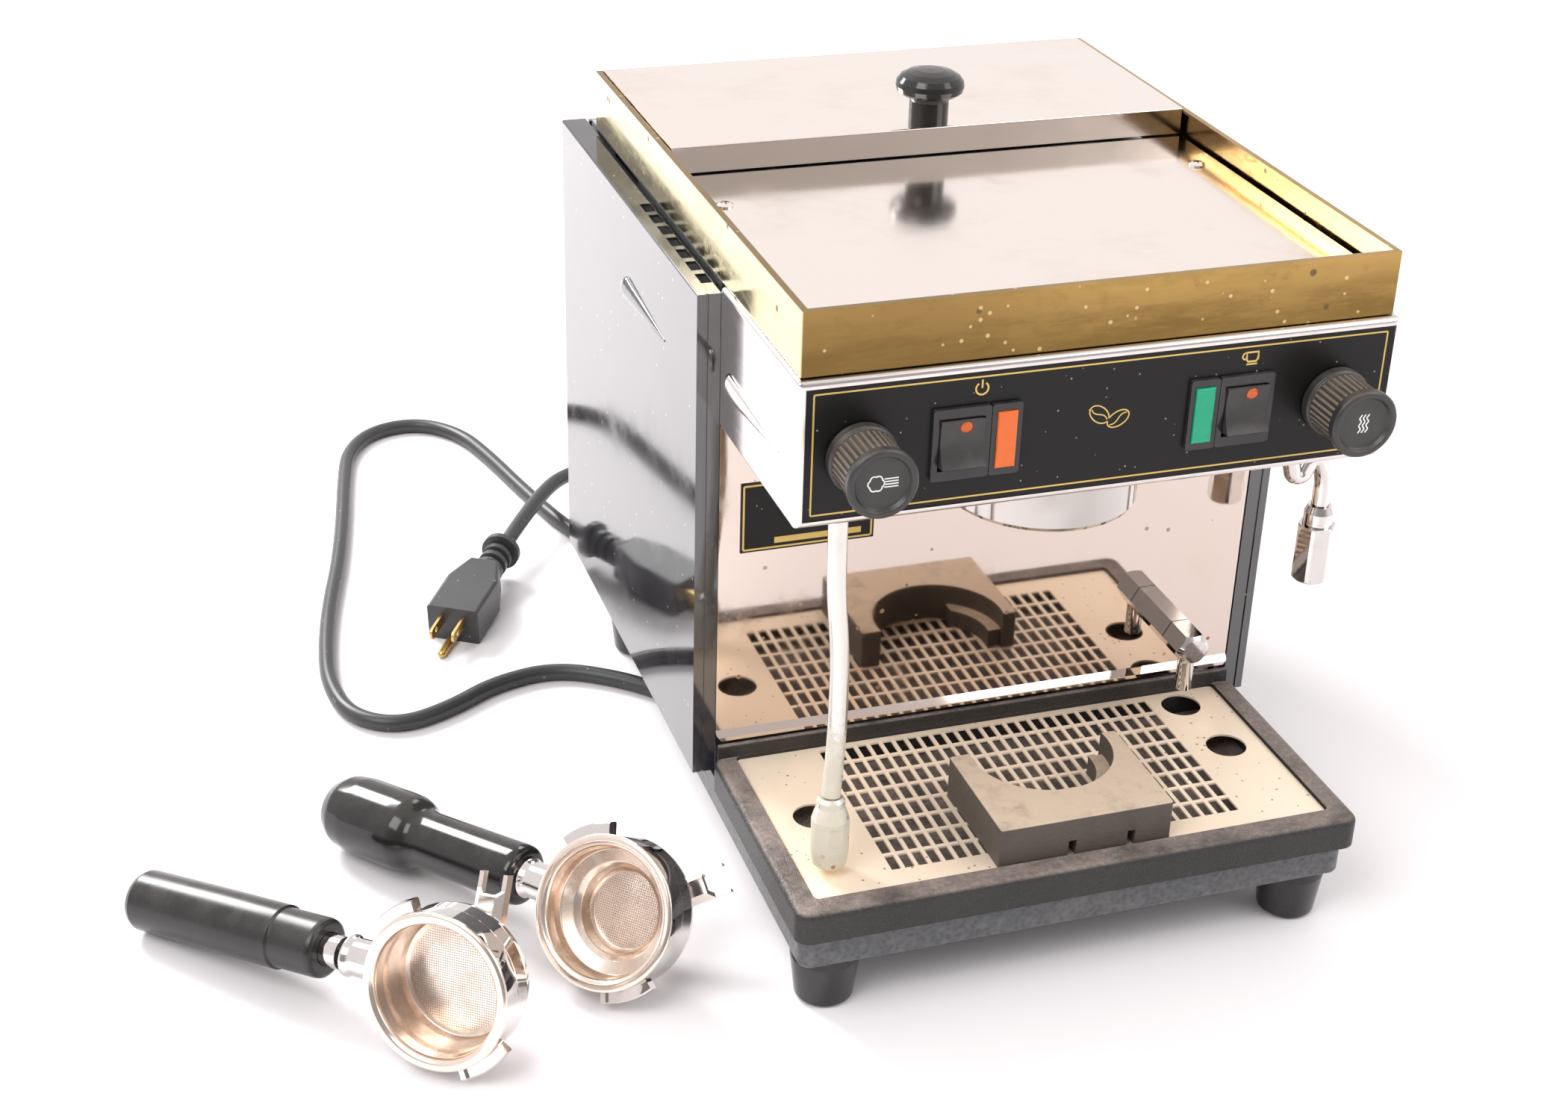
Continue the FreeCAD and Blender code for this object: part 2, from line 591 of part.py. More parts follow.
def boiler_pipes():
    """Copper pipes: boiler to both taps, pump to boiler, group to solenoid."""
    top = BOILER.z + BOILER_R + 0.3
    steam = tube([V(-62, BOILER.y, top), V(-62, BOILER.y, 240), V(-84, -18, TAP_Z), V(-107.5, -62, TAP_Z),
                  V(-107.5, -117.4, TAP_Z)], 6.0)[0]
    water = tube([V(66, BOILER.y, top), V(66, BOILER.y, 240), V(80, -14, TAP_Z), V(107.5, -40, TAP_Z),
                  V(107.5, -83.4, TAP_Z)], 6.0)[0]
    feed = tube([V(-115.3, 110, 84), V(-127, 110, 84), V(-128, 94, 96), V(-122, 60, 124), V(-116, 22, 152),
                 V(-108, BOILER.y, BOILER.z), V(-92.3, BOILER.y, BOILER.z)], 6.0)[0]
    drain = tube([V(DRAIN.x, -35, DRAIN.z + 19.3), V(DRAIN.x, -35, 160), V(72, -46, 196), V(36, -48.2, 246),
                  V(16.3, -48.2, 246)], 5.0)[0]
    return [steam, water, feed, drain]


def control_box():
    """Level controller and terminal cover on the frame's floor."""
    lid = block(54, 114, 70, 150, 52, 88, 4)
    plinth = box(60, 108, 76, 144, PAN_TOP + 1.5, 52)
    rows = [box(60 + 8 * step, 65 + 8 * step, 144, 156, 60, 72) for step in range(6)]
    return fused([lid, plinth] + rows)


def drain_fitting():
    """Hexagon bar in two lengths through the splash, with its outlet pipe."""
    front = SPLASH_Y - 1.0
    x, z = DRAIN.x, DRAIN.z

    def at(y):
        return V(x, y, z)

    nut = hexagon(15, at(front), at(front - 17.6))
    neck = rod(6.4, at(front - 17), at(front - 19))
    bar = hexagon(15, at(front - 18.2), at(front - 36))
    cone = turned([(0, 0), (6.2, 0), (9.6, 3.4), (9.6, 18), (0, 18)], at(front - 36), BACK)
    stem = rod(5.2, at(SOLENOID_FRONT), at(front - 1))
    outlet = rod(4.1, V(x, front - 28.5, z - 2), V(x, front - 28.5, z - 24))
    return fused([nut, neck, bar.common(cone), stem, outlet])


# ---- top ----------------------------------------------------------------
def gallery_rail():
    """Brass strip folded round the cup tray, hemmed inwards along its top."""
    wall = box(-GALLERY_HALF, GALLERY_HALF, GALLERY_FRONT, GALLERY_BACK, HEAD_TOP + 0.4, GALLERY_TOP)
    low = box(-GALLERY_HALF + SHEET, GALLERY_HALF - SHEET, GALLERY_FRONT + SHEET, GALLERY_BACK - SHEET,
              0, GALLERY_TOP - SHEET)
    mouth = box(-GALLERY_HALF + 3, GALLERY_HALF - 3, GALLERY_FRONT + 3, GALLERY_BACK - 3, 0, GALLERY_TOP + 1)
    return rounded(wall, 0.8, lambda e: along(e, "z")).cut(low).cut(mouth)


def cup_tray():
    """Stainless plate for warming cups, folded down at its edges."""
    plate = box(-129.4, 129.4, GALLERY_FRONT + 3.4, LID_FRONT - 0.8, CUP_TRAY_TOP - 1, CUP_TRAY_TOP)
    skirt = box(-129.4, 129.4, GALLERY_FRONT + 3.4, LID_FRONT - 0.8, HEAD_TOP + 0.4, CUP_TRAY_TOP - 1)
    skirt = skirt.cut(box(-128.4, 128.4, GALLERY_FRONT + 4.4, LID_FRONT - 1.8, 0, 400))
    tray = fused([plate, skirt])
    return cut(tray, [rod(2.2, V(x, -2, 300), V(x, -2, 320)) for x in (-117, 117)])


def cup_tray_screws():
    screws = []
    for x in (-117, 117):
        base = V(x, -2, 296.2)
        screw = turned([(0, 0), (1.9, 0), (1.9, 17.2), (3.9, 17.2), (3.9, 17.9), (2.6, 18.7), (0, 19.0)], base, UP)
        cross = [box(x - 2.1, x + 2.1, -2.4, -1.6, 313.9, 320), box(x - 0.4, x + 0.4, -4.1, 0.1, 313.9, 320)]
        screws.append(cut(screw, cross))
    return screws


def water_lid():
    """Stainless cover over the tank, folded down in front and at its sides."""
    back = GALLERY_BACK - 3.4
    outer = box(-129.6, 129.6, LID_FRONT, back, CUP_TRAY_TOP + 0.8, LID_TOP)
    inner = box(-128.6, 128.6, LID_FRONT + 1, back - 1, 0, LID_TOP - 1)
    lid = rounded(outer, 0.8, lambda e: along(e, "x") and e.BoundBox.ZMin > LID_TOP - 0.1).cut(inner)
    return lid.cut(rod(2.6, V(LID_KNOB.x, LID_KNOB.y, 310), V(LID_KNOB.x, LID_KNOB.y, 340)))


LID_KNOB = V(0.8, 53.0, LID_TOP)


def lid_knob():
    """Mushroom knob with a rounded head."""
    head = [(16.4, 17.2), (16.0, 19.6), (14.2, 21.9), (11.0, 23.6), (6.5, 24.7), (0, 25.1)]
    outline = [(0, 0), (9.4, 0), (9.4, 10.2), (10.4, 12.0), (13.6, 13.2), (15.8, 14.9)] + head
    knob = turned(outline, LID_KNOB, UP)
    stud = turned([(0, 0.5), (2.4, 0.5), (2.4, -1), (4.4, -1), (4.4, -4), (0, -4)], LID_KNOB, UP)
    return fused([knob, stud])


def water_tank():
    """Moulded tank with tapered walls, a rim and an outlet boss."""
    def section(x, y0, y1, z, radius):
        face = block(-x, x, y0, y1, z, z + 1, radius)
        floor = min(face.Faces, key=lambda f: f.CenterOfMass.z)
        return floor.OuterWire
    outer = Part.makeLoft([section(112, 66, 160, 138, 10), section(116, 62, 164, 300, 12)], True)
    inner = Part.makeLoft([section(109.6, 68.4, 157.6, 140.6, 8), section(113.6, 64.4, 161.6, 302, 10)], True)
    rim = block(-118, 118, 60, 166, 297, 300, 13)
    boss = rod(9, V(36, 112, 130), V(36, 112, 139))
    return fused([outer, rim, boss]).cut(inner)


# ---- drip tray ----------------------------------------------------------
def drip_tray():
    """Moulded tray: rounded rim over the pan, basin, low wall at the back."""
    back = SPLASH_Y - 2.3
    rim = block(-TRAY_HALF, TRAY_HALF, TRAY_FRONT, back, PAN_TOP + FIT, TRAY_TOP, 7)
    crown = lambda e: e.BoundBox.ZMin > TRAY_TOP - 0.1 and e.BoundBox.YMin < back - 0.5
    rim = rounded(rim, 3.2, crown)
    seat = block(-126.0, 126.0, -178.7, -61.1, GRID_TOP - 1.0, TRAY_TOP + 1, 2.5)
    basin = block(-122.5, 122.5, -175, -64.0, PAN_TOP + 2.5, TRAY_TOP + 1, 4)
    wall = box(-134.0, 134.0, -61.0, back, TRAY_TOP - 4, 66.0)
    wall = rounded(wall, 1.2, lambda e: along(e, "x") and e.BoundBox.ZMin > 65.9)
    return fused([rim.cut(seat).cut(basin), wall])


def drip_grid():
    """Stainless plate with 27 by 8 slots and three drain holes."""
    plate = block(-125.6, 125.6, -178.2, -61.4, GRID_TOP - 1, GRID_TOP, 2.2)
    slot_wide, slot_long = 4.5, 10.7
    pitch_x, pitch_y = 174.0 / 27, 102.3 / 8
    holes = []
    for column in range(27):
        for row in range(8):
            x = 0.8 + pitch_x * (column - 13)
            y = -166.3 + pitch_y * (row + 0.5)
            holes.append(box(x - slot_wide / 2, x + slot_wide / 2, y - slot_long / 2, y + slot_long / 2,
                             GRID_TOP - 2, GRID_TOP + 1))
    for x, y in ((-105, -115.8), (107, -113.7), (102.5, -74.0)):
        holes.append(Part.makeCylinder(9.8, 4, V(x, y, GRID_TOP - 2), UP))
    return cut(plate, holes)


def tamp_stand():
    """Moulded rest for a portafilter: a block with a stepped round cut-out."""
    body = block(-39.5, 45.0, -178.0, -115.2, GRID_TOP + FIT, 78.2, 1.5)
    centre = V(4.0, -121.0, 0)
    upper = Part.makeCylinder(34.0, 40, V(centre.x, centre.y, 67.5), UP)
    lower = Part.makeCylinder(34.0, 60, V(centre.x, centre.y, 40), UP)
    ledge = box(centre.x + 16, 80, -150, centre.y + 3, 40, 67.5)
    core = Part.makeCylinder(27.0, 60, V(centre.x, centre.y, 40), UP)
    lower = lower.cut(ledge.cut(core))
    mouth = box(-27, 30, centre.y, -100, 40, 90)
    slots = [box(x - 1.9, x + 1.9, -182, -172, 50, 66.5) for x in (-4, 25)]
    stand = cut(body, [upper, lower, mouth] + slots)
    return rounded(stand, 0.8, lambda e: along(e, "x") and e.BoundBox.YMax < -177.9 and e.BoundBox.ZMin > 78)


# ---- portafilters -------------------------------------------------------
def basket(profile):
    """Thin pressed basket: rolled rim, straight mouth for the tamper, then the wall's given profile."""
    outer = [(MOUTH_R, 0.8), (34.3, 0.8), (BASKET_RIM_R, 0.2), (BASKET_RIM_R, -1.2), (MOUTH_R + BASKET_WALL, -1.2)]
    outer += profile
    floor_r, floor_h = profile[-1]
    inner = [(r - BASKET_WALL, h) for r, h in reversed(profile[:-1])]
    return turned(outer + [(0, floor_h), (0, floor_h + BASKET_WALL), (floor_r - BASKET_WALL, floor_h + BASKET_WALL)]
                  + inner, V(0, 0, 0), UP)


def filter_body(ear_angle):
    """Chromed bowl with two bayonet ears and the neck towards the handle."""
    outline = [(34.2, -1.6), (34.2, -11.6), (33.7, -12.0), (33.7, -20.5), (32.6, -24.2), (29.6, -27.6), (25.0, -29.6),
               (12.0, -30.6), (4.0, -30.6), (4.0, -26.0), (30.6, -26.0), (31.2, -1.6)]
    bowl = turned(outline, V(0, 0, 0), UP)
    ears = []
    for angle in (ear_angle, ear_angle + 180):
        lug = ring(40.0, 33.4, 5.0, V(0, 0, -8.4), UP).common(wedge(60, -12, 0, angle, 19, V(0, 0, 0)))
        stop = ring(40.0, 33.4, 6.4, V(0, 0, -8.4), UP).common(wedge(60, -12, 0, angle - 17, 2, V(0, 0, 0)))
        ears += [lug, stop]
    root, tip = handle_point(32.6), handle_point(66.0)
    neck = taper(9.2, 7.6, root, tip)
    bead = turned([(0, 0), (8.0, 0), (9.6, 2.6), (8.0, 5.4), (0, 5.4)], handle_point(50), HANDLE_WAY)
    inside = Part.makeCylinder(31.2, 24.4, V(0, 0, -26.0), UP)
    return fused([bowl, neck.cut(inside), bead] + ears)


HANDLE_DROP = math.radians(6.5)
HANDLE_WAY = V(math.cos(HANDLE_DROP), 0, -math.sin(HANDLE_DROP))


def handle_point(reach):
    return V(0, 0, -14.0) + HANDLE_WAY * reach


def straight_handle():
    outline = [(7.8, 0), (11.5, 0), (13.2, 1.0), (13.6, 3.0), (13.6, 24), (14.6, 24.6), (14.6, 60), (14.2, 105),
               (12.6, 108), (0, 108), (0, 20), (7.8, 20)]
    return turned([(r, h) for r, h in outline], handle_point(66.2), HANDLE_WAY)


def bulb_handle():
    neck = [(7.8, 0), (11.6, 0), (13.8, 1.2), (14.6, 4.2), (14.2, 24), (13.9, 44), (14.9, 52), (17.4, 58)]
    bulb = [(18.7, 63), (19.0, 70), (18.8, 92), (17.6, 101), (14.0, 107.6), (8.0, 110.8), (0, 111.8)]
    return turned(neck + bulb + [(0, 20), (7.8, 20)], handle_point(66.2), HANDLE_WAY)


def spout(angle):
    """Single open spout: hub under the bowl and a trough that leads outwards."""
    hub = fused([rod(8.6, V(0, 0, -41), V(0, 0, -33.4)), rod(6.5, V(0, 0, -33.4), V(0, 0, -30.7))])
    turn = math.radians(angle)
    way = V(math.cos(turn) * 0.965, math.sin(turn) * 0.965, -0.262)
    across = V(-math.sin(turn), math.cos(turn), 0)
    rise = way.cross(across) * -1
    base = V(0, 0, -39.6)

    def bar(half, floor, top, start, end):
        low = [base + across * (half * 0.55) + rise * floor, base + across * half + rise * (floor + half * 0.45),
               base + across * half + rise * top, base - across * half + rise * top,
               base - across * half + rise * (floor + half * 0.45), base - across * (half * 0.55) + rise * floor]
        return prism([p + way * start for p in low], way * (end - start))

    trough = bar(6.9, -4.2, 4.4, -5, 40).cut(bar(5.5, -2.8, 6.0, 7.5, 46))
    nose = rod(30, base + way * 52 + rise * -24 - across * 20, base + way * 52 + rise * -24 + across * 20)
    trough = trough.cut(nose.common(bar(9, -9, -1.0, 30, 60)))
    return fused([hub, trough])


def lay_down(shapes, place, azimuth, elevation, roll):
    """Turn pieces whose opening faces +Z so that they lie on the table."""
    a, e, t = math.radians(azimuth), math.radians(elevation), math.radians(roll)
    opening = V(math.cos(e) * math.cos(a), math.cos(e) * math.sin(a), math.sin(e))
    level = UP.cross(opening).normalize() * -1
    down = opening.cross(level)
    handle = level * math.cos(t) + down * math.sin(t)
    turn = FreeCAD.Rotation(handle, opening.cross(handle), opening, "ZXY")
    laid = []
    for shape in shapes:
        copy = shape.copy()
        copy.Placement = FreeCAD.Placement(place, turn).multiply(copy.Placement)
        laid.append(copy)
    lowest = min(shape.optimalBoundingBox(False).ZMin for shape in laid)
    for shape in laid:
        shape.translate(V(0, 0, 0.2 - lowest))
    print("opening", [round(v, 4) for v in opening], "lifted", round(0.2 - lowest, 2))
    return laid


MOUTH_END = (MOUTH_R + BASKET_WALL, 0.8 - MOUTH_DEPTH)
DOUBLE_BASKET = [MOUTH_END, (29.4, -10.0), (28.6, -19.0), (27.6, -22.2), (25.6, -23.4)]
SINGLE_BASKET = [MOUTH_END, (28.8, -10.6), (23.0, -12.6), (20.4, -15.0), (19.6, -21.0), (18.2, -23.2)]


# ---- mains lead ---------------------------------------------------------
LEAD_X = 104.0
LEAD_Z = 66.2
RELIEF_LENGTH = 30.0
LEAD_POINTS = [
    V(104, 222, 62), V(104, 257, 57), V(106, 292, 43), V(106, 326, 24), V(93, 358, 9), V(63, 374, 5),
    V(30, 368, 4.5), V(9, 343, 4.5), V(5, 309, 4.5), V(14, 267, 4.5), V(20, 224, 4.5), V(20, 178, 4.5),
    V(13, 131, 4.5), V(-7, 90, 4.5), V(-40, 64, 4.5), V(-80, 63, 4.5), V(-112, 84, 4.5), V(-138, 112, 4.5),
    V(-170, 129, 4.5), V(-204, 125, 4.5), V(-231, 109, 4.5), V(-260, 106, 4.5), V(-285, 120, 4.5),
    V(-296, 147, 4.5), V(-294, 185, 4.5), V(-284, 232, 4.5), V(-267, 282, 4.5), V(-257, 336, 4.5),
    V(-246, 388, 4.5), V(-241, 430, 4.5), V(-217, 452, 4.5), V(-185, 456, 4.5), V(-157, 440, 4.5),
    V(-144, 406, 4.5), V(-136, 350, 4.5), V(-124, 294, 4.5), V(-106, 252, 4.5), V(-78, 235, 4.5),
    V(-45, 238, 4.5), V(-20, 260, 4.5), V(-12, 292, 4.5), V(-24, 323, 4.5), V(-50, 343, 5.5),
    V(-83, 346, 13), V(-116, 331, 22.5), V(-146, 292, 22.4), V(-172.5, 250, 18),
]
PLUG_END = LEAD_POINTS[-1]               # where the lead enters the plug
PLUG_WAY = (PLUG_END - LEAD_POINTS[-2]).normalize()


def cord_gland():
    """Bush in the back panel with a tapered, ribbed bend relief."""
    back = REAR_Y - SHEET
    nut = ring(12, 4.7, 4, V(LEAD_X, back - 6, LEAD_Z), BACK)
    bush = ring(8.2, 4.7, 12, V(LEAD_X, back - 6, LEAD_Z), BACK)
    collar = ring(13, 4.7, 4, V(LEAD_X, back, LEAD_Z), BACK)
    way = (LEAD_POINTS[1] - LEAD_POINTS[0]).normalize()
    root = LEAD_POINTS[0] - way * RELIEF_LENGTH
    relief = taper(9.0, 6.0, root, LEAD_POINTS[0])
    grooves = []
    for step in range(4):
        reach = 0.3 + 0.16 * step
        grooves.append(ring(12, 7.2 - 0.5 * step, 2.0, root + way * (RELIEF_LENGTH * reach), way))
    return fused([nut, bush, collar, cut(relief, grooves)])


def power_plug():
    """Moulded plug with ribbed relief, two blades and the ground pin."""
    flat = FreeCAD.Rotation(UP.cross(PLUG_WAY).normalize() * -1, PLUG_WAY.cross(UP.cross(PLUG_WAY)), PLUG_WAY, "ZXY")
    half = 15.0
    outline = [V(-half, 0, 80), V(-half, 0, 47), V(-8.6, 0, 27), V(8.6, 0, 27), V(half, 0, 47), V(half, 0, 80)]
    body = prism([p - V(0, 11, 0) for p in outline], V(0, 22, 0))
    body = rounded(body, 2.0, lambda e: e.BoundBox.ZMax > 79.9 and e.BoundBox.ZMin < 79 or e.BoundBox.ZMax < 60)
    ribs = [(0, 0), (11.2, 0), (11.2, 3.6), (6.6, 4.2), (6.6, 6.8), (8.6, 7.2), (8.6, 10.6), (6.4, 11.2), (6.4, 13.8),
            (8.4, 14.2), (8.4, 17.6), (6.4, 18.2), (6.4, 20.8), (8.4, 21.4), (8.4, 28), (0, 28)]
    relief = turned(ribs, V(0, 0, 0), UP)
    moulded = fused([body, relief])
    blades = []
    for x in (-6.35, 6.35):
        blade = box(x - 0.75, x + 0.75, -6.2, 0.2, 80, 97.5)
        blade = rounded(blade, 2.2, lambda e: along(e, "x") and e.BoundBox.ZMin > 97)
        blades.append(blade.cut(rod(1.6, V(x - 3, -3, 91), V(x + 3, -3, 91))))
    pin = fused([rod(2.4, V(0, 7.2, 80), V(0, 7.2, 99)), Part.makeSphere(2.4, V(0, 7.2, 99))])
    placed = []
    for shape in [moulded] + blades + [pin]:
        shape.Placement = FreeCAD.Placement(PLUG_END, flat)
        placed.append(shape)
    return placed


def rating_plate():
    """Thin blank plate riveted to the splash."""
    return box(-124.2, -59.7, SPLASH_Y - 1.6, SPLASH_Y - 1.0, 166.6, 201.6)


# ---- build --------------------------------------------------------------
def main():
    os.makedirs("parts", exist_ok=True)
    save("base_pan", base_pan())
    save("rubber_feet", *rubber_feet())
    save("chassis_frame", chassis_frame())
    right = side_panel()
    save("right_side_panel", right)
    save("left_side_panel", mirrored(right))
    save("splash_panel", splash_panel())
    save("back_panel", back_panel())
    save("head_shell", head_shell())
    save("control_fascia", control_fascia())
    save("rating_plate", rating_plate())
    save("switch_housings", switch_housing(-1), switch_housing(1))
    save("lamp_housings", lamp_housing(-1), lamp_housing(1))
    save("power_rocker", rocker(-1))
    save("brew_rocker", rocker(1))
    save("power_lamp_lens", lamp_lens(-1))
    save("brew_lamp_lens", lamp_lens(1))
    save("steam_knob", tap_knob(-1))
    save("water_knob", tap_knob(1))
    save("steam_spindle", tap_spindle(-1))
    save("water_spindle", tap_spindle(1))
    save("tap_valve_bodies", tap_valve_body(-1), tap_valve_body(1))
    save("wand_ball_nuts", ball_nut(STEAM_BALL), ball_nut(WATER_BALL))
    save("steam_ball_seat", ball_seat(STEAM_BALL))
    save("water_ball_seat", ball_seat(WATER_BALL))
    save("steam_wand_tube", steam_wand_tube())
    save("steam_wand_tip", steam_wand_tip())
    save("water_wand_tube", water_wand_tube())
    save("water_wand_tip", water_wand_tip())
    save("group_head", group_head())
    save("group_gasket", group_gasket())
    save("shower_screen", shower_screen())
    save("boiler_shell", boiler_shell())
    save("heating_element", heating_element())
    save("safety_valve", safety_valve())
    save("pressurestat", pressurestat())
    save("brew_solenoid", brew_solenoid())
    save("pump", *pump())
    save("boiler_pipes", *boiler_pipes())
    save("control_box", control_box())
    save("drain_fitting", drain_fitting())
    save("gallery_rail", gallery_rail())
    save("cup_tray", cup_tray())
    save("cup_tray_screws", *cup_tray_screws())
    save("water_lid", water_lid())
    save("lid_knob", lid_knob())
    save("water_tank", water_tank())
    save("drip_tray", drip_tray())
    save("drip_grid", drip_grid())
    save("tamp_stand", tamp_stand())
    double = lay_down([filter_body(129), straight_handle(), basket(DOUBLE_BASKET), spout(270)],
                      V(-292.1, -170.0, 40.0), -132.0, 16.9, 5.3)
    for name, shape in zip(("body", "handle", "basket", "spout"), double):
        save("double_filter_" + name, shape)
    single = lay_down([filter_body(121), bulb_handle(), basket(SINGLE_BASKET), spout(217)],
                      V(-210.6, -137.6, 43.0), -139.0, 29.0, 2.4)
    for name, shape in zip(("body", "handle", "basket", "spout"), single):
        save("single_filter_" + name, shape)
    save("cord_gland", cord_gland())
    lead, length, radii = tube(LEAD_POINTS, CORD_D)
    save("power_cord", lead)
    share = lead.Volume / (length * math.pi * CORD_D ** 2 / 4)
    print("lead length", round(length, 1), "volume share", round(share, 4))
    print("lead radii in diameters", [round(radius / CORD_D, 1) for radius in radii])
    save("power_plug", *power_plug())


main()
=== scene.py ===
"""Looks of the counter-top espresso brewer, its two portafilters and its lead."""

import json
import math

import bmesh
import bpy
import numpy as np
from mathutils import Matrix, Vector


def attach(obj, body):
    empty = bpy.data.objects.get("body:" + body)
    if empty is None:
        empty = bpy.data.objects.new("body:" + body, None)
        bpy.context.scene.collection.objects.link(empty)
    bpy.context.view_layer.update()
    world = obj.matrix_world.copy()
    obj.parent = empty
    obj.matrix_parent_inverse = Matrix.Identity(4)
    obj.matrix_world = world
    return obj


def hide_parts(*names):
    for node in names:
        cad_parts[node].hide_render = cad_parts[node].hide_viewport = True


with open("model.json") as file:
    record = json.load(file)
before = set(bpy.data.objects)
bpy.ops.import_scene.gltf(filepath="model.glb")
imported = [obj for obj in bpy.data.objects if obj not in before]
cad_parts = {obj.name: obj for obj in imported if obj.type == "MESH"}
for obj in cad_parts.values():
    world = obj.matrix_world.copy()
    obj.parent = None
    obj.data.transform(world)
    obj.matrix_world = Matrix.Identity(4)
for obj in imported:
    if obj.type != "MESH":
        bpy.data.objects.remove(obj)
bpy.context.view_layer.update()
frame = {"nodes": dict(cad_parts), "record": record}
NODES = frame["nodes"]
BODY_OF = {node: body for body, nodes in frame["record"]["behaviour"]["bodies"].items() for node in nodes}
SLOT_OF = {row["node"]: row["material_slot"] for row in frame["record"]["subparts"]}
MM = 0.001
X, Y, Z = np.eye(3)
PLUG_END, PLUG_WAY = (-0.1725, 0.250, 0.018), (-0.5319, -0.8430, -0.0883)
PLUG_FACE = 0.0801                       # from the lead's end to the face that the blades leave

# Both portafilters: centre of the basket's rim, opening direction and handle direction.
DOUBLE = ((-0.2921, -0.1700, 0.03903), (-0.6402, -0.7111, 0.2907), (-0.6806, 0.7227, -0.1207))
SINGLE = ((-0.2106, -0.1376, 0.04044), (-0.6601, -0.5738, 0.4848), (-0.5918, 0.8009, -0.0913))


# ---- shader building ----------------------------------------------------
class Value:
    """A shader socket; arithmetic on it adds Math nodes to its material."""

    def __init__(self, paint, socket):
        self.paint = paint
        self.socket = socket

    def _with(self, operation, first, second):
        return self.paint.maths(operation, first, second)

    def __add__(self, other):
        return self._with("ADD", self, other)

    __radd__ = __add__

    def __sub__(self, other):
        return self._with("SUBTRACT", self, other)

    def __rsub__(self, other):
        return self._with("SUBTRACT", other, self)

    def __mul__(self, other):
        return self._with("MULTIPLY", self, other)

    __rmul__ = __mul__

    def __truediv__(self, other):
        return self._with("DIVIDE", self, other)

    def __pow__(self, other):
        return self._with("POWER", self, other)


class Paint:
    """A node material: one Principled shader fed by procedural patterns."""

    def __init__(self, name, colour, roughness=0.5, metallic=0.0, **fixed):
        self.material = bpy.data.materials.new(name)
        self.material.use_nodes = True
        self.tree = self.material.node_tree
        self.shader = self.tree.nodes["Principled BSDF"]
        self.feed("Base Color", colour)
        self.feed("Roughness", roughness)
        self.feed("Metallic", metallic)
        for key, number in fixed.items():
            self.feed(key.replace("_", " ").title().replace("Ior", "IOR"), number)
        coordinates = self.tree.nodes.new("ShaderNodeTexCoord")
        self.place = Value(self, coordinates.outputs["Object"])
        geometry = self.tree.nodes.new("ShaderNodeNewGeometry")
        self.normal = Value(self, geometry.outputs["Normal"])

    def put(self, socket, what):
        if isinstance(what, Value):
            self.tree.links.new(what.socket, socket)
        elif isinstance(what, (tuple, list)) and socket.type == "RGBA":
            socket.default_value = (*what, 1.0)[:4]
        else:
            socket.default_value = what

    def feed(self, name, what):
        self.put(self.shader.inputs[name], what)

    def node(self, kind, settings=(), sockets=(), output=0):
        made = self.tree.nodes.new("ShaderNode" + kind)
        for key, setting in dict(settings).items():
            setattr(made, key, setting)
        for key, what in dict(sockets).items():
            self.put(made.inputs[key], what)
        return Value(self, made.outputs[output])

    def maths(self, operation, first, second=0.0):
        return self.node("Math", {"operation": operation}, {0: first, 1: second})

    def mix(self, factor, first, second):
        return self.node("Mix", {"data_type": "RGBA"}, {0: factor, 6: first, 7: second}, 2)

    def dot(self, vector, direction):
        return self.node("VectorMath", {"operation": "DOT_PRODUCT"}, {0: vector, 1: tuple(direction)}, 1)

    def between(self, value, low, high):
        """0 below low, 1 above high, a smooth step in between."""
        sockets = {"Value": value, "From Min": low, "From Max": high}
        return self.node("MapRange", {"interpolation_type": "SMOOTHSTEP"}, sockets)

    def offset(self, origin):
        """Position of the surface measured from a place."""
        return self.node("VectorMath", {"operation": "SUBTRACT"}, {0: self.place, 1: tuple(origin)})

    def length(self, vector):
        return self.node("VectorMath", {"operation": "LENGTH"}, {0: vector}, 1)

    def base_colour(self):
        """What feeds the base colour so far."""
        return Value(self, self.shader.inputs["Base Color"].links[0].from_socket)

    def stretched(self, scale):
        return self.node("Mapping", {}, {"Vector": self.place, "Scale": scale})

    def noise(self, scale, detail=4.0, roughness=0.55, vector=None):
        sockets = {"Vector": vector or self.place, "Scale": scale, "Detail": detail, "Roughness": roughness}
        return self.node("TexNoise", {}, sockets)

    def cells(self, scale, feature="F1", vector=None):
        return self.node("TexVoronoi", {"feature": feature}, {"Vector": vector or self.place, "Scale": scale})

    def specks(self, scale, size, share):
        """Small round spots in a share of the cells of a grid."""
        near = self.cells(scale)
        made = near.socket.node
        pick = self.node("SeparateColor", {}, {0: Value(self, made.outputs["Color"])})
        return (1 - self.between(near, size * 0.7, size)) * self.between(pick, 1 - share, 1.02 - share)

    def bump(self, height, strength=0.3, distance=0.0005):
        sockets = {"Height": height, "Strength": strength, "Distance": distance}
        self.feed("Normal", self.node("Bump", {}, sockets))


def metal(name, colour, roughness, stain, amount=0.35, grain=(8, 600, 8), grain_depth=0.04, spots=0.0):
    """Sheet metal: fine brushing, cloudy tarnish and a few dark specks."""
    paint = Paint(name, colour, roughness, 1.0)
    cloud = paint.between(paint.noise(14, 6, 0.65), 0.48, 0.78) * amount
    lines = paint.noise(1.0, 3, 0.6, paint.stretched(grain))
    tone = paint.mix(cloud, colour, stain)
    rough = cloud * 0.35 + lines * 0.12 + (roughness - 0.06)
    if spots:
        dots = paint.specks(75, 0.12, spots)
        tone = paint.mix(dots, tone, (0.12, 0.07, 0.04))
        rough = rough + dots * 0.3
        paint.feed("Metallic", 1 - dots * 0.8)
    paint.feed("Base Color", tone)
    paint.feed("Roughness", rough)
    paint.bump(lines, grain_depth, 0.0002)
    return paint


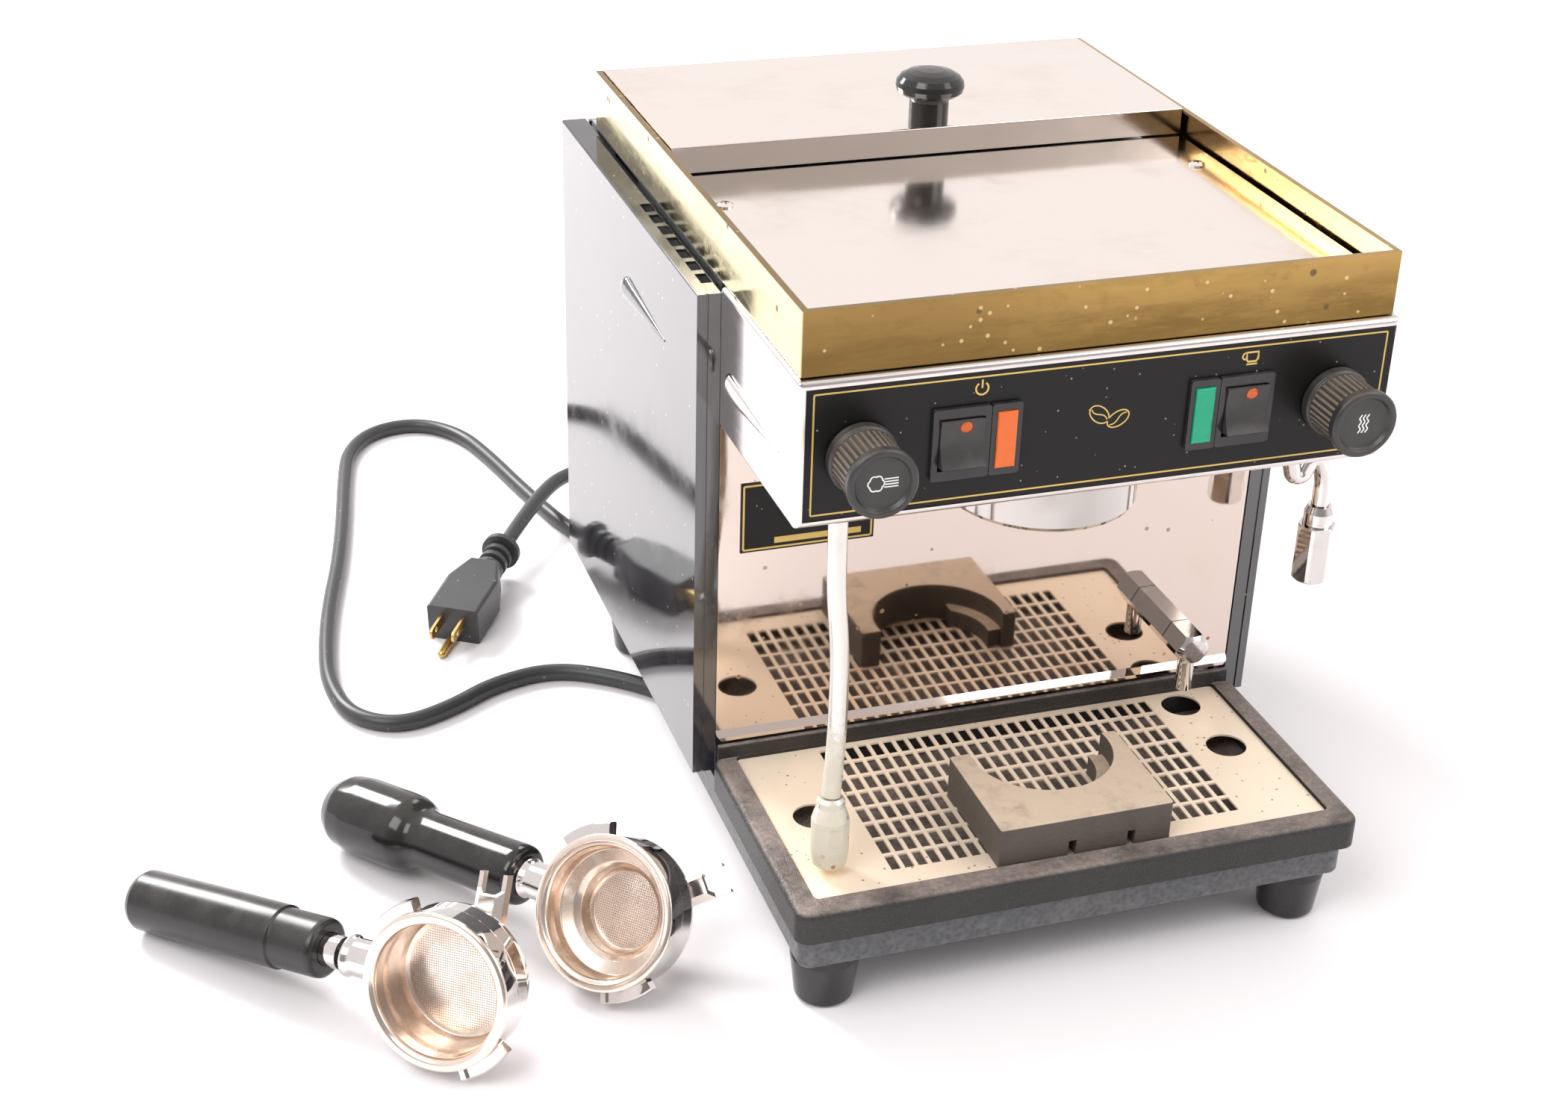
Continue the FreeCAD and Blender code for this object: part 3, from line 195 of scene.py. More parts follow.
def upward(paint, low=0.35, high=0.9):
    """1 where the surface faces up."""
    return paint.between(paint.dot(paint.normal, (0, 0, 1)), low, high)


def plastic(name, colour, roughness, dust=0.0, grain=0.0, grain_scale=900, dust_colour=(0.42, 0.37, 0.31)):
    """Moulded plastic with a fine grain, settled dust and rubbed patches."""
    paint = Paint(name, colour, roughness)
    blotch = paint.noise(60, 6, 0.7)
    fine = paint.noise(grain_scale, 2, 0.5)
    shade = paint.mix(blotch * 0.35, colour, tuple(min(1.0, c * 1.8 + 0.01) for c in colour))
    settled = (upward(paint) * 0.85 + 0.15) * paint.between(blotch, 0.25, 0.75) * dust
    paint.feed("Base Color", paint.mix(settled, shade, dust_colour))
    paint.feed("Roughness", settled * 0.4 + blotch * 0.12 + (roughness - 0.06))
    paint.bump(fine, grain, 0.0003)
    return paint


# ---- finishes -----------------------------------------------------------
def steel_plate():
    """Satin sheet with faint warm clouds."""
    return metal("satin stainless", (0.90, 0.82, 0.76), 0.13, (0.66, 0.55, 0.46), 0.4, (10, 10, 10), 0.015, 0.02)


def mirror_splash():
    """Polished sheet spattered with dried coffee."""
    steel = (0.70, 0.60, 0.54)
    paint = Paint("mirror stainless", steel, 0.05, 1.0)
    film = paint.between(paint.noise(30, 6, 0.7), 0.5, 0.8)
    small = paint.specks(170, 0.22, 0.06)
    large = paint.specks(60, 0.20, 0.05)
    drops = paint.maths("MAXIMUM", small, large)
    low = 1 - paint.between(paint.dot(paint.place, (0, 0, 1)), 0.09, 0.21)
    stain = drops * (low * 0.7 + 0.3)
    tone = paint.mix(film * 0.3, steel, (0.62, 0.49, 0.38))
    paint.feed("Base Color", paint.mix(stain, tone, (0.33, 0.17, 0.07)))
    paint.feed("Metallic", 1 - stain * 0.7)
    paint.feed("Roughness", film * 0.12 + stain * 0.3 + 0.04)
    return paint


def brass_tarnish_and_painted_reflections():
    """Polished brass strip: painted dark reflection on the lower band of its front, which is also darker towards its
    left end, painted pale reflection on its left side, tarnish clouds, streaks and coffee specks all over.
    """
    paint = Paint("speckled brass", (0.60, 0.40, 0.16), 0.2, 1.0)
    # outer and left mark the strip's left side for a painted pale reflection
    outer = 1 - paint.between(paint.dot(paint.place, (1, 0, 0)), -0.12, -0.10)
    left = paint.between(paint.dot(paint.normal, (-1, 0, 0)), 0.3, 0.9) * outer
    height = paint.dot(paint.place, (0, 0, 1))
    cloud = paint.between(paint.noise(3.0, 8, 0.7, paint.stretched((7, 7, 40))), 0.36, 0.68)
    # low marks the lower band of the strip for a painted dark reflection
    low = 1 - paint.between(height + cloud * 0.012, 0.303, 0.332)
    streak = paint.between(paint.noise(90, 5, 0.7), 0.5, 0.72)
    pale = paint.specks(260, 0.28, 0.12)
    dark = paint.specks(120, 0.22, 0.08)
    # painted dark reflection: the lower band is painted almost black-brown
    tone = paint.mix(low * 0.85, (0.46, 0.29, 0.10), (0.13, 0.078, 0.024))
    # west: the front is darker towards its left end
    west = 1 - paint.between(paint.dot(paint.place, (1, 0, 0)), -0.09, 0.02)
    tone = paint.mix(cloud * 0.5, tone, (0.26, 0.17, 0.05))
    tone = paint.mix(west * 0.5, tone, (0.15, 0.095, 0.035))
    tone = paint.mix(streak * 0.25, tone, (0.20, 0.12, 0.04))
    # painted pale reflection: the left side is painted a pale cream brass
    tone = paint.mix(left * 0.9, tone, (0.56, 0.49, 0.27))
    tone = paint.mix(dark * 0.8, tone, (0.12, 0.07, 0.03))
    tone = paint.mix(pale * 0.5, tone, (0.80, 0.66, 0.38))
    paint.feed("Base Color", tone)
    paint.feed("Metallic", 1 - dark * 0.6)
    paint.feed("Roughness", cloud * 0.14 + dark * 0.3 + streak * 0.1 + 0.12)
    return paint


def dusty_grid():
    """Punched stainless plate under a film of coffee dust."""
    paint = Paint("dusty stainless", (0.90, 0.74, 0.56), 0.42, 0.3)
    cloud = paint.noise(22, 7, 0.65)
    fine = paint.noise(900, 2, 0.6)
    dust = paint.between(cloud, 0.3, 0.75)
    tone = paint.mix(dust, (1.0, 0.86, 0.68), (0.98, 0.80, 0.60))
    tone = paint.mix(paint.specks(330, 0.25, 0.12), tone, (0.35, 0.24, 0.16))
    paint.feed("Base Color", paint.mix(fine * 0.2, tone, (0.95, 0.82, 0.68)))
    paint.feed("Metallic", 0.25 - dust * 0.2)
    paint.feed("Roughness", dust * 0.25 + fine * 0.1 + 0.25)
    return paint


def hammer_paint():
    """Dark stove enamel with a hammered skin, scuffed along its edges."""
    paint = Paint("hammered enamel", (0.09, 0.092, 0.098), 0.38)
    dents = paint.cells(420, "SMOOTH_F1")
    cloud = paint.noise(26, 6, 0.7)
    scuff = paint.between(paint.noise(1.0, 6, 0.75, paint.stretched((60, 60, 420))), 0.66, 0.72)
    tone = paint.mix(dents, (0.05, 0.052, 0.057), (0.15, 0.152, 0.158))
    tone = paint.mix(paint.between(cloud, 0.5, 0.9) * 0.5, tone, (0.32, 0.28, 0.24))
    paint.feed("Base Color", paint.mix(scuff * 0.6, tone, (0.5, 0.46, 0.42)))
    paint.feed("Roughness", cloud * 0.25 + 0.25)
    paint.bump(dents, 0.35, 0.0006)
    return paint


def gloss_panel():
    """Gloss black enamel, dusty, with hairline scratches running down it."""
    paint = Paint("gloss black enamel", (0.016, 0.015, 0.018), 0.09, ior=2.1)
    hair = paint.between(paint.noise(1.0, 5, 0.7, paint.stretched((900, 900, 9))), 0.62, 0.75)
    film = paint.between(paint.noise(18, 7, 0.7), 0.4, 0.8)
    specks = paint.specks(240, 0.16, 0.03)
    tone = paint.mix(film * 0.08 + hair * 0.10, (0.016, 0.015, 0.018), (0.5, 0.47, 0.48))
    paint.feed("Base Color", paint.mix(specks * 0.7, tone, (0.7, 0.62, 0.55)))
    paint.feed("Roughness", film * 0.10 + hair * 0.12 + 0.06)
    return paint


def overlay():
    """Matt black film with specks of dust."""
    paint = Paint("black overlay", (0.006, 0.006, 0.006), 0.3, ior=1.33)
    specks = paint.specks(420, 0.2, 0.08)
    cloud = paint.noise(40, 5, 0.7)
    tone = paint.mix(cloud * 0.2, (0.005, 0.005, 0.005), (0.03, 0.027, 0.024))
    paint.feed("Base Color", paint.mix(specks * 0.5, tone, (0.6, 0.52, 0.42)))
    paint.feed("Roughness", cloud * 0.2 + 0.24)
    return paint


def leather_tray():
    """Black moulding with a leather grain; tan dust lies on what faces up."""
    paint = Paint("leather grain moulding", (0.05, 0.047, 0.044), 0.55)
    grain = paint.cells(620, "DISTANCE_TO_EDGE")
    cloud = paint.noise(34, 7, 0.72)
    crust = paint.between(paint.noise(420, 3, 0.7), 0.35, 0.7)
    settled = upward(paint, 0.55, 0.98) * (paint.between(cloud, 0.25, 0.66) * 0.7 + 0.2) * (crust * 0.35 + 0.65)
    tone = paint.mix(cloud * 0.5, (0.012, 0.011, 0.011), (0.05, 0.046, 0.042))
    paint.feed("Base Color", paint.mix(settled * 0.9, tone, (0.42, 0.34, 0.30)))
    paint.feed("Roughness", settled * 0.3 + 0.42)
    paint.bump(paint.between(grain, 0.0, 0.16) + crust * settled * 0.6, 0.5, 0.0004)
    return paint


def dusty_stand():
    """Dark casting with a thick tan crust on what faces up."""
    paint = Paint("dusty stamping stand", (0.03, 0.029, 0.028), 0.6)
    cloud = paint.noise(60, 7, 0.75)
    crust = paint.between(paint.noise(700, 3, 0.7), 0.3, 0.7)
    settled = (upward(paint, 0.3, 0.9) * 0.92 + 0.10) * (paint.between(cloud, 0.15, 0.55) * 0.5 + 0.5)
    paint.feed("Base Color", paint.mix(settled, (0.022, 0.021, 0.021), (0.66, 0.53, 0.40)))
    paint.feed("Roughness", settled * 0.4 + 0.45)
    paint.bump(crust, 0.35, 0.0004)
    return paint


def bright_chrome():
    """Plated metal with hazy clouds and small pits."""
    bright = (0.72, 0.69, 0.67)
    paint = Paint("chrome plate", bright, 0.05, 1.0)
    cloud = paint.between(paint.noise(70, 6, 0.7), 0.5, 0.8)
    pits = paint.specks(380, 0.2, 0.05)
    paint.feed("Base Color", paint.mix(cloud * 0.4 + pits * 0.5, bright, (0.36, 0.30, 0.25)))
    paint.feed("Roughness", cloud * 0.16 + pits * 0.3 + 0.04)
    return paint


def stained_pipe(name, bottom, top):
    """Steel pipe whose lowest stretch carries dried milk and rust."""
    paint = Paint(name, (0.74, 0.72, 0.68), 0.2, 1.0)
    height = paint.dot(paint.place, (0, 0, 1))
    low = 1 - paint.between(height, bottom, top)
    cloud = paint.noise(120, 6, 0.7)
    crust = paint.between(cloud + low * 0.42, 0.62, 0.86)
    rust = paint.specks(230, 0.3, 0.12) * low
    tone = paint.mix(cloud * 0.35, (0.74, 0.73, 0.70), (0.48, 0.42, 0.34))
    tone = paint.mix(crust * 0.6, tone, (0.60, 0.54, 0.38))
    paint.feed("Base Color", paint.mix(rust * 0.8, tone, (0.30, 0.14, 0.05)))
    paint.feed("Metallic", 1 - crust * 0.8)
    paint.feed("Roughness", crust * 0.45 + cloud * 0.12 + 0.14)
    paint.bump(crust, 0.3, 0.0003)
    return paint


def knob_plastic(name, centre):
    """Black moulding with tan dust lodged between its ribs."""
    paint = plastic(name, (0.022, 0.021, 0.021), 0.34, 0.25, 0.05)
    offset = paint.offset(centre)
    flat = paint.node("VectorMath", {"operation": "MULTIPLY"}, {0: offset, 1: (1, 0, 1)})
    radius = paint.length(flat)
    depth = paint.dot(offset, (0, -1, 0))
    grip = paint.between(depth, 0.0048, 0.0055) * (1 - paint.between(depth, 0.0218, 0.0225))
    valley = (1 - paint.between(radius, 0.01345, 0.01425)) * grip
    dust = valley * (paint.noise(300, 4, 0.7) * 0.5 + 0.55)
    paint.feed("Base Color", paint.mix(dust, paint.base_colour(), (0.33, 0.27, 0.21)))
    return paint


def lens(name, colour):
    """Coloured translucent cap, cloudy inside."""
    paint = Paint(name, colour, 0.18, transmission_weight=0.12, ior=1.49)
    cloud = paint.noise(220, 3, 0.5)
    paint.feed("Base Color", paint.mix(cloud * 0.4, colour, tuple(c * 0.55 for c in colour)))
    paint.feed("Roughness", cloud * 0.1 + 0.14)
    return paint


def jacket(name="lead jacket", colour=(0.028, 0.028, 0.030)):
    """Soft dark sleeve with paler scuffs."""
    paint = Paint(name, colour, 0.38)
    cloud = paint.noise(55, 5, 0.6)
    scuff = paint.specks(300, 0.25, 0.10)
    tone = paint.mix(cloud * 0.4, colour, tuple(c * 2.4 for c in colour))
    paint.feed("Base Color", paint.mix(scuff * 0.35, tone, (0.4, 0.37, 0.35)))
    paint.feed("Roughness", cloud * 0.2 + 0.28)
    return paint


def plug_moulding(end, way):
    """Dark moulding whose blades, beyond its face, are worn brass."""
    paint = jacket("plug moulding", (0.032, 0.032, 0.034))
    metallic = paint.between(paint.dot(paint.offset(end), way), PLUG_FACE, PLUG_FACE + 0.0002)
    paint.feed("Base Color", paint.mix(metallic, paint.base_colour(), (0.62, 0.42, 0.16)))
    paint.feed("Metallic", metallic)
    return paint


def basket_steel(name, rim, axes, floor_radius, floor_height):
    """Pressed filter basket: walls browned partly by coffee stain and partly as painted shade, and a punched floor.
    """
    out, first, second = axes
    pitch = 0.0011
    paint = Paint(name, (0.70, 0.62, 0.54), 0.2, 1.0)
    offset = paint.offset(rim)
    depth = paint.dot(offset, out)
    # brown: coffee stain on the walls below the rim, which also serves as painted shade in the basket's hollow
    brown = paint.between(paint.noise(48, 6, 0.65), 0.35, 0.75) * (1 - paint.between(depth, -0.004, -0.0005))
    # painted shade and coffee stain: the walls are mixed towards dark brown
    tone = paint.mix(brown * 0.7 + 0.05, (0.90, 0.79, 0.70), (0.46, 0.30, 0.20))
    du, dv = (paint.maths("PINGPONG", paint.dot(offset, along) / pitch, 0.5) for along in (first, second))
    away = (du * du + dv * dv) ** 0.5
    radius = paint.length(paint.node("VectorMath", {"operation": "CROSS_PRODUCT"}, {0: offset, 1: tuple(out)}))
    floor = 1 - paint.between(depth, floor_height - 0.0006, floor_height + 0.0002)
    inside = (1 - paint.between(radius, floor_radius - 0.0006, floor_radius)) * floor
    tone = paint.mix(inside * 0.55, tone, (0.98, 0.86, 0.77))
    holes = (1 - paint.between(away, 0.20, 0.30)) * inside
    paint.feed("Base Color", paint.mix(holes * 0.9, tone, (0.05, 0.03, 0.02)))
    paint.feed("Metallic", 1 - holes)
    paint.feed("Roughness", brown * 0.25 + holes * 0.4 + 0.16)
    return paint


def ink(name, colour, metallic=0.0):
    """Printed line, slightly worn."""
    paint = Paint(name, colour, 0.35, metallic)
    wear = paint.noise(500, 3, 0.6)
    paint.feed("Base Color", paint.mix(wear * 0.35, colour, tuple(c * 0.7 for c in colour)))
    return paint


# ---- surfaces -----------------------------------------------------------
def unit(v):
    v = np.asarray(v, float)
    return v / np.linalg.norm(v)


def basket_axes(portafilter):
    """The opening direction and two directions in the plane of the rim."""
    out, handle = unit(portafilter[1]), unit(portafilter[2])
    first = unit(handle - out * (handle @ out))
    return tuple(out), tuple(first), tuple(np.cross(out, first))


def sheet_faces(rows, columns, wrap_rows, wrap_columns, start=0):
    """Quads of a grid of points; either direction may close on itself."""
    i = np.arange(rows if wrap_rows else rows - 1)[:, None]
    j = np.arange(columns if wrap_columns else columns - 1)[None, :]
    i2, j2 = (i + 1) % rows, (j + 1) % columns
    quads = np.stack(np.broadcast_arrays(i * columns + j, i2 * columns + j, i2 * columns + j2, i * columns + j2), -1)
    return quads.reshape(-1, 4) + start


def piece(name, grids, paint, body, slot, replaces=(), sharp=35.0):
    """One mesh object from (points, wrap_rows, wrap_columns) grids, smooth except along sharp edges."""
    vertices, faces, count = [], [], 0
    for points, wrap_rows, wrap_columns in grids:
        rows, columns = points.shape[:2]
        vertices.append(points.reshape(-1, 3))
        faces.append(sheet_faces(rows, columns, wrap_rows, wrap_columns, count))
        count += rows * columns
    mesh = bpy.data.meshes.new(name)
    mesh.from_pydata(np.concatenate(vertices), [], np.concatenate(faces).tolist())
    mesh.materials.append(paint.material)
    made = bpy.data.objects.new(name, mesh)
    bpy.context.scene.collection.objects.link(made)
    clean(mesh)
    mesh.shade_smooth()
    mesh.set_sharp_from_angle(angle=math.radians(sharp))
    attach(made, body)
    if replaces:
        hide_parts(*replaces)
    return made


def clean(mesh):
    """Welds poles and seams, drops empty faces and points the rest outwards."""
    work = bmesh.new()
    work.from_mesh(mesh)
    bmesh.ops.remove_doubles(work, verts=work.verts, dist=1e-6)
    bmesh.ops.dissolve_degenerate(work, edges=work.edges, dist=1e-7)
    bmesh.ops.recalc_face_normals(work, faces=work.faces)
    work.to_mesh(mesh)
    work.free()


def soft_outline(points, radius, steps=5):
    """A polyline with each inner corner replaced by a small curve that starts and ends radius away from it."""
    points = np.asarray(points, float)
    made = [points[0]]
    t = np.linspace(0, 1, steps)[:, None]
    for before, corner, after in zip(points, points[1:], points[2:]):
        into, out = corner - before, after - corner
        a = corner - unit(into) * min(radius, 0.45 * np.linalg.norm(into))
        b = corner + unit(out) * min(radius, 0.45 * np.linalg.norm(out))
        made.extend((1 - t) ** 2 * a + 2 * t * (1 - t) * corner + t ** 2 * b)
    made.append(points[-1])
    return np.array(made)


def frame_of(axis):
    """Two unit vectors square to an axis and to each other."""
    axis = unit(axis)
    side = unit(np.cross(axis, Z if abs(axis[2]) < 0.9 else X))
    return side, np.cross(axis, side)


def turned(outline, base, axis, radius=0.4, around=96, ribs=None):
    """Surface of revolution of a (radius, height) outline in millimetres; ribs(angle, height) scales the radius."""
    side, other = frame_of(axis)
    soft = soft_outline(outline, radius) * MM
    angle = np.linspace(0, 2 * np.pi, around, endpoint=False)[None, :]
    r = soft[:, :1] * np.ones_like(angle)
    if ribs:
        r = r * ribs(angle, soft[:, 1:] / MM)
    across = r[..., None] * (np.cos(angle)[..., None] * side + np.sin(angle)[..., None] * other)
    return np.asarray(base) + across + soft[:, 1][:, None, None] * unit(axis), False, True


def stroke(path, width, place, right, up, closed=False, thick=0.00012):
    """Printed line: a flat bar of the given width along a plane path; place, right and up set the plane."""
    path = np.asarray(path, float) * MM
    step = (np.roll(path, -1, 0) - np.roll(path, 1, 0)) if closed else np.gradient(path, axis=0)
    step /= np.linalg.norm(step, axis=1)[:, None]
    normal = np.stack([-step[:, 1], step[:, 0]], 1) * width * MM / 2
    edges = np.stack([path + normal, path - normal], 1)
    out = np.cross(right, up)
    flat = np.asarray(place) + edges[..., :1] * np.asarray(right) + edges[..., 1:] * np.asarray(up)
    section = np.concatenate([flat, (flat + out * thick)[:, ::-1]], 1)
    if closed:
        return section, True, True
    caps = [np.broadcast_to(section[k].mean(0), (1, 4, 3)) for k in (0, -1)]
    return np.concatenate([caps[0], section, caps[1]]), False, True


def arc(radius, start, end, centre=(0, 0), steps=40):
    """Points of a circular arc between two angles in degrees."""
    a = np.radians(np.linspace(start, end, steps))
    return np.stack([centre[0] + radius * np.cos(a), centre[1] + radius * np.sin(a)], 1)


def rectangle(x0, x1, z0, z1, corner=0.6):
    """Closed outline with small round corners."""
    corners = ((x1 - corner, z1 - corner, 0), (x0 + corner, z1 - corner, 90), (x0 + corner, z0 + corner, 180),
               (x1 - corner, z0 + corner, 270))
    return np.concatenate([arc(corner, a, a + 90, (cx, cz), 6) for cx, cz, a in corners])


# ---- camera, floor and light --------------------------------------------
LENS = 54.62                             # focal length in millimetres on a 36 mm frame
EYE = (-0.41605, -0.96714, 0.67757)


def camera():
    """Three-quarter view from the front left, looking down."""
    data = bpy.data.cameras.new("camera")
    data.sensor_width, data.lens = 36.0, LENS
    made = bpy.data.objects.new("camera", data)
    bpy.context.scene.collection.objects.link(made)
    right = Vector((0.94982, -0.31168, 0.02637))
    down = Vector((-0.12557, -0.45716, -0.88048))
    forward = Vector((0.28648, 0.83298, -0.47336))
    turn = Matrix((right, -down, -forward)).transposed()
    made.matrix_world = Matrix.Translation(EYE) @ turn.to_4x4()
    bpy.context.scene.camera = made


FLOOR = 6.0                              # half the floor's width
SKY = 1.05                               # strength of the white surroundings
FRONT_DARK_WAY = (-0.25, -0.95, 0.15)    # the surroundings are dimmer this way
LAMPS = (                                # name, place, aim, size, power
    ("backdrop", (-0.9, 1.7, 1.5), (-0.45, 0.6, 0.0), 0.9, 60),
    ("key", (-1.5, -0.9, 2.0), (0, 0, 0.15), 1.4, 30),
    ("fill", (1.5, -1.3, 1.6), (0, 0, 0.1), 1.4, 16),
)


def studio():
    """Pale floor, white surroundings that dim towards the front, and three soft lamps."""
    mesh = bpy.data.meshes.new("floor")
    corners = [(-FLOOR, -FLOOR, 0), (FLOOR, -FLOOR, 0), (FLOOR, FLOOR, 0), (-FLOOR, FLOOR, 0)]
    mesh.from_pydata(corners, [], [(0, 1, 2, 3)])
    paint = Paint("pale floor", (0.90, 0.875, 0.885), 0.55)
    cloud = paint.noise(3, 4, 0.5)
    paint.feed("Base Color", paint.mix(cloud * 0.3, (0.92, 0.895, 0.905), (0.87, 0.845, 0.86)))
    mesh.materials.append(paint.material)
    floor = bpy.data.objects.new("floor", mesh)
    bpy.context.scene.collection.objects.link(floor)
    world = bpy.data.worlds.new("studio")
    bpy.context.scene.world = world
    world.use_nodes = True
    nodes, links = world.node_tree.nodes, world.node_tree.links
    direction = nodes.new("ShaderNodeTexCoord")
    facing = nodes.new("ShaderNodeVectorMath")
    facing.operation = "DOT_PRODUCT"
    facing.inputs[1].default_value = FRONT_DARK_WAY
    ramp = nodes.new("ShaderNodeMapRange")
    ramp.interpolation_type = "SMOOTHSTEP"
    for key, number in (("From Min", 0.35), ("From Max", 0.95), ("To Min", SKY), ("To Max", SKY * 0.35)):
        ramp.inputs[key].default_value = number
    links.new(direction.outputs["Generated"], facing.inputs[0])
    links.new(facing.outputs["Value"], ramp.inputs["Value"])
    links.new(ramp.outputs["Result"], nodes["Background"].inputs["Strength"])
    nodes["Background"].inputs["Color"].default_value = (1.0, 0.965, 0.96, 1)
    for name, place, aim, size, power in LAMPS:
        lamp = bpy.data.lights.new(name, "AREA")
        lamp.size = size
        lamp.energy = power
        made = bpy.data.objects.new(name, lamp)
        bpy.context.scene.collection.objects.link(made)
        made.location = place
        made.rotation_euler = (Vector(aim) - Vector(place)).to_track_quat("-Z", "Y").to_euler()
    bpy.context.scene.view_settings.view_transform = "Standard"


# ---- the lead -----------------------------------------------------------
LEAD_ROUTE = [
    (104, 222, 62), (104, 257, 57), (106, 292, 43), (106, 326, 24), (93, 358, 9), (63, 374, 5),
    (30, 368, 4.5), (9, 343, 4.5), (5, 309, 4.5), (14, 267, 4.5), (20, 224, 4.5), (20, 178, 4.5),
    (13, 131, 4.5), (-7, 90, 4.5), (-40, 64, 4.5), (-80, 63, 4.5), (-112, 84, 4.5), (-138, 112, 4.5),
    (-170, 131, 4.5), (-205, 124, 4.5), (-232, 106, 4.5), (-261, 96, 4.5), (-284, 112, 4.5),
    (-290, 147, 4.5), (-286, 185, 4.5), (-277, 232, 4.5), (-264, 282, 4.5), (-253, 336, 4.5),
    (-244, 388, 4.5), (-235, 432, 4.5), (-214, 459, 4.5), (-183, 463, 4.5), (-160, 440, 4.5),
    (-149, 402, 4.5), (-138, 348, 4.5), (-124, 292, 4.5), (-106, 252, 4.5), (-78, 235, 4.5),
    (-45, 238, 4.5), (-20, 260, 4.5), (-12, 292, 4.5), (-24, 323, 4.5), (-50, 343, 5.5),
    (-83, 346, 13), (-116, 331, 22.5), (-146, 292, 22.4), (-172.5, 250, 18),
]
LEAD_DIAMETER = 0.009


def lead():
    """The free mains lead, a spline with the route's points as its control points."""
    curve = bpy.data.curves.new("mains_lead", "CURVE")
    curve.dimensions = "3D"
    curve.bevel_depth = LEAD_DIAMETER / 2
    curve.bevel_resolution = 5
    curve.resolution_u = 10
    spline = curve.splines.new("NURBS")
    spline.points.add(len(LEAD_ROUTE) - 1)
    for point, place in zip(spline.points, LEAD_ROUTE):
        point.co = (*(n * MM for n in place), 1.0)
    spline.order_u = 3
    spline.use_endpoint_u = True
    spline.use_smooth = True
    curve.materials.append(jacket().material)
    made = bpy.data.objects.new("mains_lead", curve)
    bpy.context.scene.collection.objects.link(made)
    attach(made, BODY_OF["power_cord"])
    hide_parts("power_cord")
    return made


# ---- taps, switches and printed marks -----------------------------------
TAP_BASE = (0.1075, -0.1609, 0.2623)     # centre of the hot-water knob's back face; the steam knob mirrors it
KNOB_FACE = 25.2                         # height of the dished face above the back, in millimetres
RIBS = 34


def knob_ribs(angle, height):
    """Scale of the grip's radius: round-backed ribs with narrow valleys; plain above and below the grip."""
    grip = (height > 5.3) & (height < 21.7)
    valley = (0.5 - 0.5 * np.cos(RIBS * angle)) ** 2
    return 1 - 0.06 * grip * valley


def tap_knobs():
    """Ribbed knobs turned about -Y, each with white marks on its dished face."""
    outline = [(0, 0), (15.2, 0), (15.2, 4.2), (14.2, 5), (14.2, 22), (15.2, 23), (15.2, 26.2), (14.2, 27.2),
               (12.4, 27.2), (11.2, KNOB_FACE), (0, KNOB_FACE)]
    white = ink("white ink", (0.85, 0.85, 0.84))
    theta = np.linspace(0, 2 * np.pi, 121)[:-1]
    lobes = 3.0 + 0.5 * np.abs(np.cos(3 * theta))
    cloud = np.stack([lobes * np.cos(theta) - 2.6, lobes * np.sin(theta)], 1)
    rise = np.linspace(-4.2, 4.2, 40)
    for side, node in ((-1, "steam_knob"), (1, "water_knob")):
        base = (side * TAP_BASE[0], *TAP_BASE[1:])
        body = BODY_OF[node]
        piece(node + "_grip", [turned(outline, base, -Y, 0.35, RIBS * 8, knob_ribs)], knob_plastic(node, base),
              body, "black_plastic", [node])
        face = (base[0], base[1] - KNOB_FACE * MM, base[2])
        if side < 0:
            marks = [stroke(cloud, 0.55, face, X, Z, True)]
            marks += [stroke([(0.8, z), (6.8, z)], 0.5, face, X, Z) for z in (-1.8, -0.6, 0.6, 1.8)]
        else:
            marks = [stroke(np.stack([x + 0.45 * np.sin(1.9 * rise), rise], 1), 0.6, face, X, Z)
                     for x in (-1.7, 0.0, 1.7)]
        piece(node + "_marks", marks, white, body, "panel_overlay")


def bean(centre, tilt, length=5.2, width=3.3):
    """Strokes of a coffee bean: an ellipse and the curved seam along its length."""
    theta = np.linspace(0, 2 * np.pi, 61)[:-1]
    run = np.linspace(-0.86, 0.86, 21)
    turn = np.array([[math.cos(tilt), math.sin(tilt)], [-math.sin(tilt), math.cos(tilt)]])
    shell = np.stack([length * np.cos(theta), width * np.sin(theta)], 1) @ turn + centre
    seam = np.stack([length * run, 0.28 * width * np.sin(np.pi * run)], 1) @ turn + centre
    return shell, seam


def sector(inner, outer, low, high, middle, half, steps=14):
    """Bar of rectangular section bent round +Z: radii, heights and angles in millimetres and degrees."""
    corners = np.array([(inner, low), (outer - 0.6, low), (outer, low + 0.6), (outer, high - 0.6),
                        (outer - 0.6, high), (inner, high)])
    angle = np.radians(np.linspace(middle - half, middle + half, steps))[:, None]
    r, z = corners[None, :, 0], corners[None, :, 1] + 0 * angle
    body = np.stack([r * np.cos(angle), r * np.sin(angle), z], -1)
    caps = [np.broadcast_to(body[k].mean(0), (1, len(corners), 3)) for k in (0, -1)]
    return np.concatenate([caps[0], body, caps[1]]), False, True


